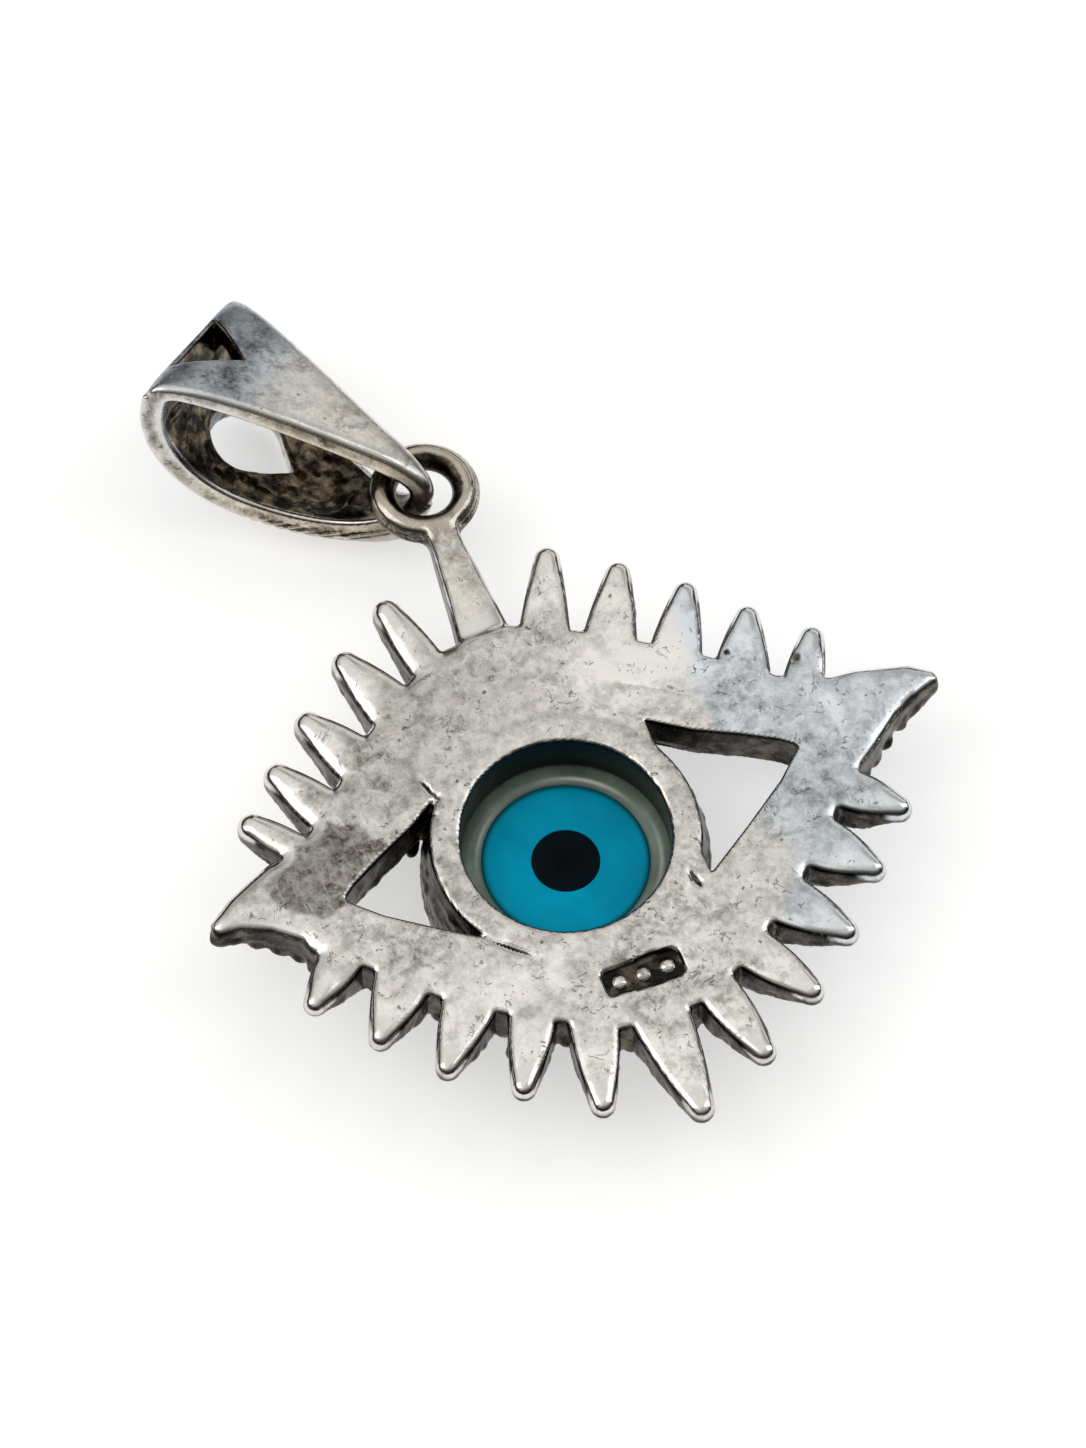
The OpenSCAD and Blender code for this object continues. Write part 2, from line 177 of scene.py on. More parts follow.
# Dull patches, and bright ones below zero, partly stains and partly painted reflections such as the bright
# sheen on the upper middle and on flat facets near the right corner: x, y, half length, half height, strength
STAIN_AND_REFLECTION_PATCHES = [[-3.6, 7.0, 3.4, 1.9, 0.42], [-6.4, 4.6, 2.4, 1.6, 0.32], [1.6, 7.6, 1.9, 1.0, 0.10],
           [6.9, -5.4, 1.5, 1.3, 0.3], [0.6, -5.0, 2.2, 0.5, 0.15], [-1.4, 10.6, 0.7, 1.2, 0.15],
           [5.3, 6.0, 2.8, 1.3, -1.1], [-4.4, -5.2, 2.6, 1.0, -0.45], [-4.35, -6.4, 0.6, 0.3, 0.3],
           [-0.6, -5.6, 1.3, 0.4, 0.4], [4.9, -0.4, 0.5, 1.6, 0.5], [8.8, -1.6, 1.6, 2.0, 0.35],
           [12.4, 2.6, 0.8, 0.4, -0.9], [9.6, 3.6, 1.2, 0.8, -0.2], [-4.9, 3.6, 0.9, 0.5, 0.3],
           [2.2, -5.6, 0.7, 0.6, -0.5], [-5.0, -0.6, 0.5, 1.8, 0.4], [-9.6, 2.0, 2.8, 1.8, 0.12],
           [-7.4, -2.6, 1.4, 0.5, 0.35], [10.9, 1.4, 0.3, 0.8, -0.8], [0.0, 5.3, 2.4, 0.5, 0.2]]
# Painted dark reflections of flat facets, sharp-edged: x, y, half length, half height, strength
DARK_FACET_REFLECTIONS = [[-9.4, 2.1, 2.6, 1.9, 1.12], [-4.4, -6.35, 0.75, 0.28, 0.4]]
# How much the lashes are brighter, and the ring and the neck duller, and how much of the dark teal of the
# painted glass reflection goes into the panel's floor
LASH_BRIGHT = 0.42
RING_SHADE = 1.7
NECK_SHADE = 0.3
PANEL_TINT = 0.12

# Bail: its place and its side view, as in the solids
BAIL_L = 11.4
BAIL_UP = 1.5
BAIL_DOWN = 4.3
STRAP_T = 0.9
BEND_W = 7.0
TIP_W = 0.55
FRONT_CROWN = 0.4
FRONT_FAR_W = 1.5
FRONT_FAR_LIFT = 0.9
BAIL_YAW = math.radians(37.5)
BAIL_PITCH = math.radians(9.5)
BAIL_ROLL = math.radians(21.5)
BACK_STRAP = (0.268, 2.92)
FRONT_STRAP = (0.566, 2)
TAPER_POWER = 1.24
TIP_SHARES = (0.54, 0.39)
BEND_WINDOW_W = 1.65
BEND_WINDOW_L = 2.3
BEND_LIP_Z = 0.5
DROP_R = 1.45
DROP_L = 3.7
DROP_FROM_BEND = 2.0
DROP_SIDE = 0.95
DROP_LEAN = math.radians(25)
ROPE_PITCH = 0.46
STRAP_EDGE_R = 0.20
STRAP_INSIDE_R = 0.18
CUT_EDGE_R = 0.12

# Glass: dome of the front, shoulder of the back, and the joints between its pieces
DOME_H = 0.28
SHOULDER_R = 0.70
SHOULDER_D = 0.34
STEP_DOWN = 0.09
GLASS_GAP = 0.012
# Painted soft highlight arcs on the shoulder: distance from the iris, width, direction, spread, strength
PAINTED_HIGHLIGHT_ARCS = [[0.28, 0.07, 0.95, 0.42, 1.0], [0.20, 0.05, 2.5, 0.35, 0.5], [0.45, 0.08, -0.35, 0.5, 0.5]]

# Distance between the samples of each skin, the most triangles of it, and cells of the noise
EYE_STEP = 0.11
BAIL_STEP = 0.072
EYE_TRIANGLES = 198000
BAIL_TRIANGLES = 160000
NOISE_CELLS = 32

# Colours of the silver: tints of the bare metal, the cool one a painted reflection, stains with painted shade
# and reflections, polished places, scratches and marks
COOL_SHEEN_TINT = (0.88, 0.96, 1.06)
WARM_TINT = (1.0, 0.90, 0.74)
STAIN_AND_SHADE = (0.10, 0.088, 0.070)
STAIN_AND_SHADE_IN_COOL_SHEEN = (0.088, 0.100, 0.114)
SHINE = (0.68, 0.665, 0.635)
SHINE_IN_COOL_SHEEN = (0.66, 0.68, 0.70)
SHINE_WARM = (0.50, 0.45, 0.38)
SCRATCH = (0.84, 0.83, 0.80)
MARK = (0.10, 0.08, 0.065)
# Painted teal reflection of the glass on the wall of its hole
GLASS_REFLECTION_TEAL = (0.010, 0.026, 0.026)
# Colour of the painted highlight arcs on the pale glass
ARC_HIGHLIGHT = (0.74, 0.79, 0.71)
# Silver: tone, darkest and lightest dirt and painted shade, roughness that they add
SILVERS = {
    "cast_silver": [(0.86, 0.84, 0.80), (0.012, 0.010, 0.008), (0.115, 0.094, 0.070), -0.05],
    "cast_silver_bail": [(1.0, 0.98, 0.94), (0.014, 0.011, 0.008), (0.20, 0.16, 0.11), -0.14]}
# Glass: lighter and deeper tone, tone of the rim, strength of the reflections
GLASSES = {
    "pale_glass": [(0.22, 0.285, 0.225), (0.11, 0.155, 0.12), (0.04, 0.11, 0.11), 0.40],
    "blue_glass": [(0.0, 0.38, 0.60), (0.0, 0.31, 0.50), (0.0, 0.12, 0.17), 0.03],
    "black_glass": [(0.003, 0.004, 0.006), (0.002, 0.002, 0.003), (0.003, 0.01, 0.015), 0.02]}

# Lights: direction, distance, size in metres, power in watts, colour
LIGHTS = {
    "key": [(-0.66, 0.18, 0.70), 0.5, (0.26, 0.40), 0.36, (1.0, 0.985, 0.96)],
    "fill": [(-0.30, 0.40, 0.85), 0.6, (0.9, 0.9), 0.85, (1.0, 0.985, 0.96)],
    "cool": [(0.78, -0.02, 0.66), 0.5, (0.22, 0.50), 0.45, (0.97, 0.98, 1.0)],
    "back": [(0.60, 0.66, 0.42), 0.55, (0.50, 0.22), 0.25, (1.0, 0.97, 0.92)]}
FLOOR_HALF = 0.6
FLOOR_TONE = (0.80, 0.80, 0.80, 1)
FLOOR_GLOW = 0.47
ROOM_TONE = (1.0, 0.985, 0.96, 1)


# Distance fields: negative inside, in millimetres
def smooth_min(a, b, width):
    share = np.clip(0.5 + 0.5 * (b - a) / width, 0, 1)
    return b + (a - b) * share - width * share * (1 - share)


def round_max(a, b, radius):
    """Where both fields are inside, with a quarter-round edge of this radius."""
    a_in = a + radius
    b_in = b + radius
    return np.minimum(np.maximum(a_in, b_in), 0) + np.hypot(np.maximum(a_in, 0), np.maximum(b_in, 0)) - radius


def smooth_step(value, start, end):
    share = np.clip((value - start) / (end - start), 0, 1)
    return share * share * (3 - 2 * share)


def hill(offset, width):
    """Bell curve: 1 in the middle, almost 0 at twice the width."""
    return np.exp(-(offset / width) ** 2)


def polygon_distance(x, y, points):
    points = np.asarray(points, float)
    best = np.full(np.broadcast(x, y).shape, np.inf)
    inside = np.zeros(best.shape, bool)
    for (ax, ay), (bx, by) in zip(points, np.roll(points, -1, axis=0)):
        ex, ey = bx - ax, by - ay
        wx, wy = x - ax, y - ay
        share = np.clip((wx * ex + wy * ey) / (ex * ex + ey * ey), 0, 1)
        best = np.minimum(best, (wx - share * ex) ** 2 + (wy - share * ey) ** 2)
        if ey != 0:
            inside ^= ((ay > y) != (by > y)) & (x < ex * (y - ay) / ey + ax)
    return np.where(inside, -1, 1) * np.sqrt(best)


def blended(grid, base, part):
    """Grid values between the samples, from each place's whole steps and the rest of a step."""
    total = np.zeros(len(base))
    for corner in itertools.product((0, 1), repeat=base.shape[1]):
        weight = 1
        for i, end in enumerate(corner):
            weight = weight * np.abs(1 - end - part[:, i])
        total += weight * grid[tuple(((base + corner) % grid.shape).T)]
    return total


def noise(points, size, seed):
    """Smooth random values from -1 to 1, with features of about this size."""
    lattice = np.random.default_rng(seed).uniform(-1, 1, (NOISE_CELLS, NOISE_CELLS, NOISE_CELLS))
    cell = points / size
    base = np.floor(cell).astype(int)
    part = cell - base
    return blended(lattice, base, part * part * (3 - 2 * part))


class Block:
    """A box of evenly spaced sample points and a distance field on them."""

    def __init__(self, low, high, step):
        self.low = np.array(low, float)
        self.step = step
        count = np.ceil((np.array(high) - self.low) / step).astype(int) + 1
        x, y, z = (self.low[i] + step * np.arange(count[i]) for i in range(3))
        self.x = x[:, None, None]
        self.y = y[None, :, None]
        self.z = z[None, None, :]
        self.field = np.full(count, 1e3, np.float32)

    def near(self, low, high):
        """Slices of the samples between two corners, with their x, y and z."""
        first = np.maximum(0, (low - self.low) / self.step).astype(int)
        last = ((high - self.low) / self.step).astype(int) + 2
        cut = tuple(slice(start, end) for start, end in zip(first, last))
        return cut, self.x[cut[0]], self.y[:, cut[1]], self.z[:, :, cut[2]]

    def read(self, grid, points):
        """Values of the field, or of a plan grid, at any points."""
        count = grid.ndim
        cell = np.clip((points[:, :count] - self.low[:count]) / self.step, 0, np.array(grid.shape) - 1.001)
        base = cell.astype(int)
        return blended(grid, base, cell - base)

    def slope(self, points):
        """Outward unit direction of the field at points."""
        reach = self.step * 0.75
        parts = []
        for i in range(3):
            shift = np.zeros(3)
            shift[i] = reach
            parts.append(self.read(self.field, points + shift) - self.read(self.field, points - shift))
        slope = np.stack(parts, axis=1)
        return slope / np.maximum(np.linalg.norm(slope, axis=1, keepdims=True), 1e-9)

    def openness(self, points, normals, reach):
        """How open the space before the surface is: 1 on a flat face, less in a groove."""
        return np.clip(self.read(self.field, points + normals * reach) / reach, 0, 1)

    def skin(self):
        """Closed skin of four-sided faces where the field is zero: (points, faces)."""
        field = self.field
        inside = field < 0
        cells, points, quads = [], [], []
        for axis in range(3):
            first = tuple(slice(0, -1) if i == axis else slice(None) for i in range(3))
            second = tuple(slice(1, None) if i == axis else slice(None) for i in range(3))
            start = np.argwhere(inside[first] != inside[second])
            end = start.copy()
            end[:, axis] += 1
            value_a = field[tuple(start.T)]
            value_b = field[tuple(end.T)]
            crossing = start.astype(float)
            crossing[:, axis] += value_a / (value_a - value_b)
            side, other = (axis + 1) % 3, (axis + 2) % 3
            corners = []
            for back_side, back_other in ((0, 0), (1, 0), (1, 1), (0, 1)):
                cell = start.copy()
                cell[:, side] -= back_side
                cell[:, other] -= back_other
                corners.append(np.ravel_multi_index(tuple(cell.T), field.shape))
            corners = np.stack(corners, axis=1)
            cells.append(corners.ravel())
            points.append(np.repeat(crossing, 4, axis=0))
            corners[value_a > 0] = corners[value_a > 0][:, ::-1]
            quads.append(corners)
        cells = np.concatenate(cells)
        points = np.concatenate(points)
        names, index = np.unique(cells, return_inverse=True)
        count = np.bincount(index)
        place = np.stack([np.bincount(index, weights=points[:, i]) / count for i in range(3)], axis=1)
        place = self.low + self.step * place
        faces = np.searchsorted(names, np.concatenate(quads))
        for _ in range(3):
            place -= self.slope(place) * self.read(field, place)[:, None]
        return evened(place, faces), faces


def evened(place, faces):
    """Points moved towards their neighbours and most of the way back, which takes out steps."""
    ends = np.concatenate([faces[:, [i, (i + 1) % 4]] for i in range(4)])
    count = np.bincount(ends[:, 0], minlength=len(place))[:, None]
    for share in (0.5, -0.52, 0.5, -0.52):
        mean = np.stack([np.bincount(ends[:, 0], weights=place[ends[:, 1], i], minlength=len(place))
                         for i in range(3)], axis=1) / count
        place = place + share * (mean - place)
    return place


# Blender objects from points in millimetres
def add_object(name, data):
    made = bpy.data.objects.new(name, data)
    bpy.context.scene.collection.objects.link(made)
    return made


def mesh_object(name, points, faces):
    """Smooth-shaded object."""
    mesh = bpy.data.meshes.new(name)
    mesh.vertices.add(len(points))
    mesh.vertices.foreach_set("co", (np.asarray(points) * MM).astype(np.float32).ravel())
    faces = np.asarray(faces)
    mesh.loops.add(faces.size)
    mesh.loops.foreach_set("vertex_index", faces.ravel().astype(np.int32))
    mesh.polygons.add(len(faces))
    mesh.polygons.foreach_set("loop_start", np.arange(0, faces.size, faces.shape[1], dtype=np.int32))
    mesh.update(calc_edges=True)
    mesh.validate()
    mesh.shade_smooth()
    return add_object(name, mesh)


def mesh_points(piece):
    points = np.zeros(len(piece.data.vertices) * 3, np.float32)
    piece.data.vertices.foreach_get("co", points)
    return points.reshape(-1, 3).astype(float) / MM


def set_mesh_points(piece, points):
    piece.data.vertices.foreach_set("co", (points * MM).astype(np.float32).ravel())
    piece.data.update()


def set_values(piece, **values):
    """Stores numbers from -1 to 1 for each point, which the materials read by name."""
    for name, value in values.items():
        layer = piece.data.attributes.new(name, "FLOAT", "POINT")
        layer.data.foreach_set("value", np.clip(value, -1, 1).astype(np.float32))


def apply_modifier(piece, kind, **settings):
    bpy.context.view_layer.objects.active = piece
    modifier = piece.modifiers.new(kind, kind)
    for name, value in settings.items():
        setattr(modifier, name, value)
    bpy.ops.object.modifier_apply(modifier=modifier.name)
    piece.data.shade_smooth()


def skin_object(name, block, most_triangles):
    """Object of the block's skin, with its flattest faces merged where it has too many triangles."""
    points, faces = block.skin()
    piece = mesh_object(name, points, faces)
    triangles = 2 * len(piece.data.polygons)
    if triangles > most_triangles:
        apply_modifier(piece, "DECIMATE", ratio=most_triangles / triangles)
    return piece


# Plan of the eye, seen on its back, from the middle of the lashes' pattern
half_w = EYE_W / 2


def unit(vector):
    return vector / np.linalg.norm(vector)


def notch_row(start, rows, height):
    return [np.array([row[0] * half_w, row[1] * height]) for row in [start] + rows]


upper_notches = [notch_row(UPPER_START[i], UPPER_LASHES[i], LID_UP) for i in (0, 1)]
lower_notches = [notch_row(LOWER_START[i], LOWER_LASHES[i], -LID_LOW) for i in (0, 1)]
corner_start = [upper_notches[i][-1][0] for i in (0, 1)]
corner_tip = [np.array([CORNER_REACH[i] - LASH_TIP_R, CORNER_TIP[i] * LID_UP]) for i in (0, 1)]


def past_notches(i, x):
    """Share of the way from a side's last notch to the middle of its round end."""
    return np.clip((x - corner_start[i]) / (corner_tip[i][0] - corner_start[i]), 0, 1)


def corner_points(i, rows):
    span = CORNER_REACH[i] - corner_start[i]
    return [np.array([corner_start[i] + span * share, height * LID_UP]) for share, height in rows]


def corner_arc(i, top, bottom):
    """Round end of a corner, from its upper to its lower edge."""
    rise = corner_tip[i] - top
    fall = corner_tip[i] - bottom
    start = math.atan2(rise[1], rise[0]) + math.pi / 2
    end = math.atan2(fall[1], fall[0]) - math.pi / 2
    radius = LASH_TIP_R + EDGE_GROW
    return [corner_tip[i] + radius * np.array([math.cos(turn), math.sin(turn)])
            for turn in np.linspace(start, end, 9)]


class Lash:
    """One lash between notches a and b: its round-ended edge from a to b, and its closed shape."""

    def __init__(self, a, b, tip, form):
        self.made_from = (a, b, tip, form)
        radius, bulge, extra, self.thick = form
        self.root = (a + b) / 2
        self.along = unit(tip - self.root)
        self.tip = tip + self.along * (LASH_TIP_R + EDGE_GROW + extra - radius)
        self.length = np.linalg.norm(self.tip - self.root)
        side = np.array([self.along[1], -self.along[0]])
        if (b - a) @ side < 0:
            side = -side
        notch_a = a + (b - a) * ROOT_NOTCH
        notch_b = b - (b - a) * ROOT_NOTCH
        turns = np.radians(np.linspace(-80, 80, 9))
        end = [self.tip + radius * (math.cos(t) * self.along + math.sin(t) * side) for t in turns]
        shares = np.linspace(0, 1, 7)[1:-1]
        side_a = [notch_a + (end[0] - notch_a) * s - side * bulge * 4 * s * (1 - s) for s in shares]
        side_b = [end[-1] + (notch_b - end[-1]) * s + side * bulge * 4 * s * (1 - s) for s in shares]
        self.edge = [notch_a] + side_a + end + side_b + [notch_b]
        sunk = self.along * ROOT_SINK
        self.shape = [notch_a - sunk] + self.edge[1:-1] + [notch_b - sunk]

    def mirrored(self):
        *places, form = self.made_from
        return Lash(*(place * np.array([-1, 1]) for place in places), form)


def lash_row(rows, notches, outward, form):
    found = []
    for j, row in enumerate(rows):
        way = np.array([row[2], outward * row[3]])
        reach = LASH_LEN * np.linalg.norm(way) - LASH_TIP_R
        tip = (notches[j] + notches[j + 1]) / 2 + reach * unit(way)
        found.append(Lash(notches[j], notches[j + 1], tip, form))
    return found


def edge_with_lashes(notches, row):
    points = [notches[0]]
    for lash, notch in zip(row, notches[1:]):
        points += lash.edge + [notch]
    return points


upper_rows = [lash_row(UPPER_LASHES[i], upper_notches[i], 1, UPPER_FORM[i]) for i in (0, 1)]
lower_rows = [lash_row(LOWER_LASHES[i], lower_notches[i], -1, LOWER_FORM[i]) for i in (0, 1)]


def half_outline(i, with_lashes):
    """Points of one half, from the top to the corner and down to the bottom."""
    top = corner_points(i, CORNER_TOP[i])
    bottom = corner_points(i, CORNER_BOTTOM[i])
    corner = top + corner_arc(i, top[-1], bottom[0]) + bottom
    upper = upper_notches[i]
    lower = lower_notches[i]
    if with_lashes:
        upper = edge_with_lashes(upper, upper_rows[i])
        lower = edge_with_lashes(lower, lower_rows[i])
    return [p * [SIDES[i], 1] for p in upper + corner + lower[::-1]]


bottom_right = lower_notches[0][0]
bottom_left = lower_notches[1][0] * [-1, 1]
bottom_way = unit(np.array([BOTTOM_LEAN, -1]))
bottom_tip = (bottom_right + bottom_left) / 2 + (LASH_LEN - LASH_TIP_R) * bottom_way
bottom_lash = Lash(bottom_left, bottom_right, bottom_tip, LOWER_FORM[0])
left_lashes = [lash.mirrored() for lash in upper_rows[1] + lower_rows[1]]
lashes = [bottom_lash] + upper_rows[0] + lower_rows[0] + left_lashes
lid_outline = half_outline(0, False) + half_outline(1, False)[::-1]
whole_outline = half_outline(0, True) + bottom_lash.edge[::-1] + half_outline(1, True)[::-1]


def crack_depth(x, y, wobble):
    """Depth of the cracks, which thin out towards both ends."""
    depth = 0
    for ax, ay, bx, by, width, deep in CRACKS:
        wx, wy = x + wobble - ax, y - wobble - ay
        ex, ey = bx - ax, by - ay
        share = np.clip((wx * ex + wy * ey) / (ex ** 2 + ey ** 2), 0, 1)
        gap = np.hypot(wx - share * ex, wy - share * ey)
        depth = np.maximum(depth, deep * hill(gap, width) * (0.35 + 2.6 * share * (1 - share)))
    return depth


def softened(plane, passes):
    """Plan grid with its sharp creases smoothed."""
    for _ in range(passes):
        sides = plane[:-2, 1:-1] + plane[2:, 1:-1] + plane[1:-1, :-2] + plane[1:-1, 2:]
        plane = plane.copy()
        plane[1:-1, 1:-1] = (plane[1:-1, 1:-1] * 2 + sides) / 6
    return plane


def edge_roll(x, y, outer_gap):
    """Rolled edge of the back face: share of the roll, and its depth."""
    upper_left = smooth_step(y, 1.0, 3.0) * smooth_step(-x, 0.5, 2.0)
    upper_left = np.maximum(upper_left, smooth_step(-x, 9.0, 10.5))
    right = smooth_step(x, 5.0, 9.0)
    width, depth = (size[0] + size[1] * upper_left + size[2] * right for size in (ROLL_W, ROLL_D))
    return softened(np.clip(1 + outer_gap / width, 0, 1.15) ** 2, 5), depth


def back_face(x, y, roll_off):
    """Height of the back face: a slight camber, edges that roll off, soft dents, pits and cracks."""
    spots = np.stack([np.broadcast_to(x, roll_off.shape).ravel(), np.broadcast_to(y, roll_off.shape).ravel(),
                      np.zeros(roll_off.size)], axis=1)

    def field(size, seed):
        return noise(spots, size, seed).reshape(roll_off.shape)

    top = BACK_Z - CAMBER[0] * np.minimum((x / half_w) ** 2, 1.1)
    top = top - CAMBER[1] * np.minimum((y / LID_UP) ** 2, 1.2)
    for height, size, seed in RIPPLES:
        top = top + height * field(size, seed)
    top = top - roll_off
    radius = np.hypot(x - STONE_X, y)
    top = top - 0.025 * hill(radius - SETTING_R, 0.25)
    top = top + 0.012 * hill(radius - HOLE_R - 0.45, 0.4)
    for dent_x, dent_y, size, depth in DENTS:
        top = top - depth * hill(np.hypot(x - dent_x, y - dent_y), size)
    return top - crack_depth(x, y, 0.09 * field(0.45, 6))


def add_plate(block):
    """Plate with lashes and windows. Returns plan grids: lids' distance, share of the roll, back face."""
    x = block.x[:, :, 0]
    y = block.y[:, :, 0]
    eye = polygon_distance(x, y, lid_outline)
    plan = polygon_distance(x, y, whole_outline)
    windows = np.full(eye.shape, np.inf)
    front = np.full(eye.shape, BACK_Z - PLATE_T)
    back_round = np.full(eye.shape, BACK_EDGE_R)
    front_round = np.full(eye.shape, FRONT_EDGE_R)
    for i, side in enumerate(SIDES):
        past = past_notches(i, side * x)
        front = front + (PLATE_T - LASH_TIP_T) * past ** 2
        front_round = front_round + CORNER_FRONT_R * past ** 2
        back_round = back_round + CORNER_BACK_R * past ** 2
        shape = [[side * p[0] * WINDOW_REACH, p[1] * WINDOW_H] for p in WINDOW]
        windows = np.minimum(windows, polygon_distance(x, y, shape))
    under = front
    nearest = np.full(plan.shape, np.inf)
    for lash in lashes:
        shape = polygon_distance(x, y, lash.shape)
        along = (x - lash.root[0]) * lash.along[0] + (y - lash.root[1]) * lash.along[1]
        share = np.clip(along / lash.length, 0, 1)
        own = shape < nearest
        nearest = np.where(own, shape, nearest)
        under = np.where(own, BACK_Z - PLATE_T + (PLATE_T - lash.thick) * share, under)
        lash_round = BACK_EDGE_R + TIP_BACK_R * smooth_step(share, 0.3, 1)
        back_round = np.where(own & (share > 0), lash_round, back_round)
    under = np.where(eye < -0.4, front, under)
    roll, roll_depth = edge_roll(x, y, plan)
    top = back_face(x, y, roll * roll_depth)
    pierced = -smooth_min(-plan, windows, 0.12)
    back_round = np.where(windows < 0.6, WINDOW_EDGE_R, back_round)
    skin = round_max(pierced[:, :, None], block.z - top[:, :, None], back_round[:, :, None])
    skin = round_max(skin, under[:, :, None] - block.z, front_round[:, :, None])
    block.field = skin.astype(np.float32)
    return eye, roll, top


def add_setting(block, top):
    """Flared collar round the glass, its hole, and the pocket that holds the glass."""
    radius = np.hypot(block.x - STONE_X, block.y)
    outer = np.where(block.z > BACK_Z - FLARE_D,
                     SETTING_R + (COLLAR_R - SETTING_R) * (BACK_Z - block.z) / FLARE_D, COLLAR_R)
    collar = round_max(radius - outer, block.z - top[:, :, None], BACK_EDGE_R)
    collar = round_max(collar, -block.z, COLLAR_EDGE_R)
    joined = smooth_min(block.field, collar, SOLDER_R)
    joined = round_max(joined, HOLE_R - 0.03 - radius, HOLE_EDGE_R)
    pocket_z = (LIP_T + BACK_Z - LEDGE_T) / 2
    pocket = np.abs(block.z - pocket_z) - (BACK_Z - LEDGE_T - LIP_T) / 2
    pocket = np.maximum(radius - GLASS_R - 0.05, pocket)
    block.field = np.maximum(joined, -pocket).astype(np.float32)


def add_ball(block, centre, radius, join):
    reach = radius + 3 * join + 0.3
    cut, x, y, z = block.near(np.array(centre) - reach, np.array(centre) + reach)
    ball = np.sqrt((x - centre[0]) ** 2 + (y - centre[1]) ** 2 + (z - centre[2]) ** 2) - radius
    block.field[cut] = smooth_min(block.field[cut], ball, join)


def add_beads(block):
    """Row of beads on the front, just inside the eye's outline."""
    loop = np.array(lid_outline + lid_outline[:1])
    legs = np.linalg.norm(np.diff(loop, axis=0), axis=1)
    total = legs.sum()
    count = int(total / BEAD_SPACING)
    reach = np.concatenate([[0], np.cumsum(legs)])
    for i in range(count):
        at = (i + 0.5) * total / count
        leg = np.searchsorted(reach, at) - 1
        way = unit(loop[leg + 1] - loop[leg])
        place = loop[leg] + way * (at - reach[leg]) + np.array([way[1], -way[0]]) * BEAD_INSET
        half = 0 if place[0] > 0 else 1
        lift = (PLATE_T - LASH_TIP_T) * past_notches(half, abs(place[0])) ** 2
        add_ball(block, [place[0], place[1], BACK_Z - PLATE_T + lift + 0.05], BEAD_R, 0.08)


def add_neck_and_ring(block):
    """Ring of round wire with a worn seam, and the tapered neck from the upper lid to it."""
    ring_z = BACK_Z - RING_DROP
    low = np.array([-3.4, LID_UP - 2.4, 0.5])
    high = np.array([3.4, RING_Y + 3.2, BACK_Z + 0.5])
    cut, x, y, z = block.near(low, high)
    reach = np.hypot(x - RING_X, y - RING_Y) - RING_R
    ring = np.hypot(reach, z - ring_z) - WIRE_R
    turn = np.arctan2(y - RING_Y, x - RING_X)
    # Worn seam on the outside of the ring, strongest on the lower right
    seam = 0.05 + 0.05 * np.cos(turn + 0.9)
    groove = np.hypot(reach - WIRE_R * 0.80, z - ring_z - WIRE_R * 0.50) - 0.08
    ring = ring + seam * hill(np.maximum(groove, 0), 0.07)
    start = LID_UP - 1.5
    end = RING_Y - RING_R + 0.1
    share = np.clip((y - LID_UP) / (end - LID_UP), 0, 1)
    middle = NECK_X + (RING_X - NECK_X) * share
    half = (NECK_ROOT_W + (NECK_W - NECK_ROOT_W) * share ** 0.85) / 2
    sides = np.abs(x - middle) - half
    ends = np.maximum(start - y, y - end)
    top = BACK_Z - 0.14 - (RING_DROP - WIRE_R - 0.10) * smooth_step(share, 0.15, 1)
    low_z = ring_z - 0.70 + 0.25 * smooth_step(share, 0.6, 1)
    neck = round_max(np.maximum(sides, ends), z - top + 0.12 * (sides + half) ** 2, 0.24)
    neck = round_max(neck, low_z - z, 0.2)
    joined = smooth_min(ring, neck, 0.38)
    block.field[cut] = smooth_min(block.field[cut], joined, 0.30)


def add_claw(block):
    """Small bent claw of the front that shows in the left window."""
    start = np.array([-4.9, 4.1, BACK_Z - 2.0])
    end = np.array([-5.75, 2.55, BACK_Z - 2.4])
    cut, x, y, z = block.near(np.minimum(start, end) - 1, np.maximum(start, end) + 1)
    leg = end - start
    wx, wy, wz = x - start[0], y - start[1], z - start[2]
    share = np.clip((wx * leg[0] + wy * leg[1] + wz * leg[2]) / (leg @ leg), 0, 1)
    gap = np.sqrt((wx - share * leg[0]) ** 2 + (wy - share * leg[1]) ** 2 + (wz - share * leg[2]) ** 2)
    block.field[cut] = smooth_min(block.field[cut], gap - 0.38 + 0.14 * share, 0.12)


def cut_panel(block):
    """Sunk panel with three raised dots."""
    low = np.array([PANEL[0] - PANEL_L, PANEL[1] - PANEL_W, BACK_Z - 1.0])
    high = np.array([PANEL[0] + PANEL_L, PANEL[1] + PANEL_W, BACK_Z + 0.4])
    cut, x, y, z = block.near(low, high)
    corner_r = 0.3
    across = np.abs(y - PANEL[1]) - (PANEL_W / 2 - corner_r) - 0.05 * np.sin(2.2 * x)
    long = np.abs(x - PANEL[0]) - (PANEL_L / 2 - corner_r)
    shape = np.hypot(np.maximum(across, 0), np.maximum(long, 0)) + np.minimum(np.maximum(across, long), 0)
    hollow = np.maximum(shape - corner_r, BACK_Z - PANEL_D - z)
    for side in (-1, 0, 1):
        dot = np.hypot(x - PANEL[0] - side * DOT_SPACING, y - PANEL[1]) - DOT_R
        dot = round_max(dot, z - BACK_Z + 0.09, 0.08)
        hollow = np.maximum(hollow, -dot)
    block.field[cut] = np.maximum(block.field[cut], -hollow)


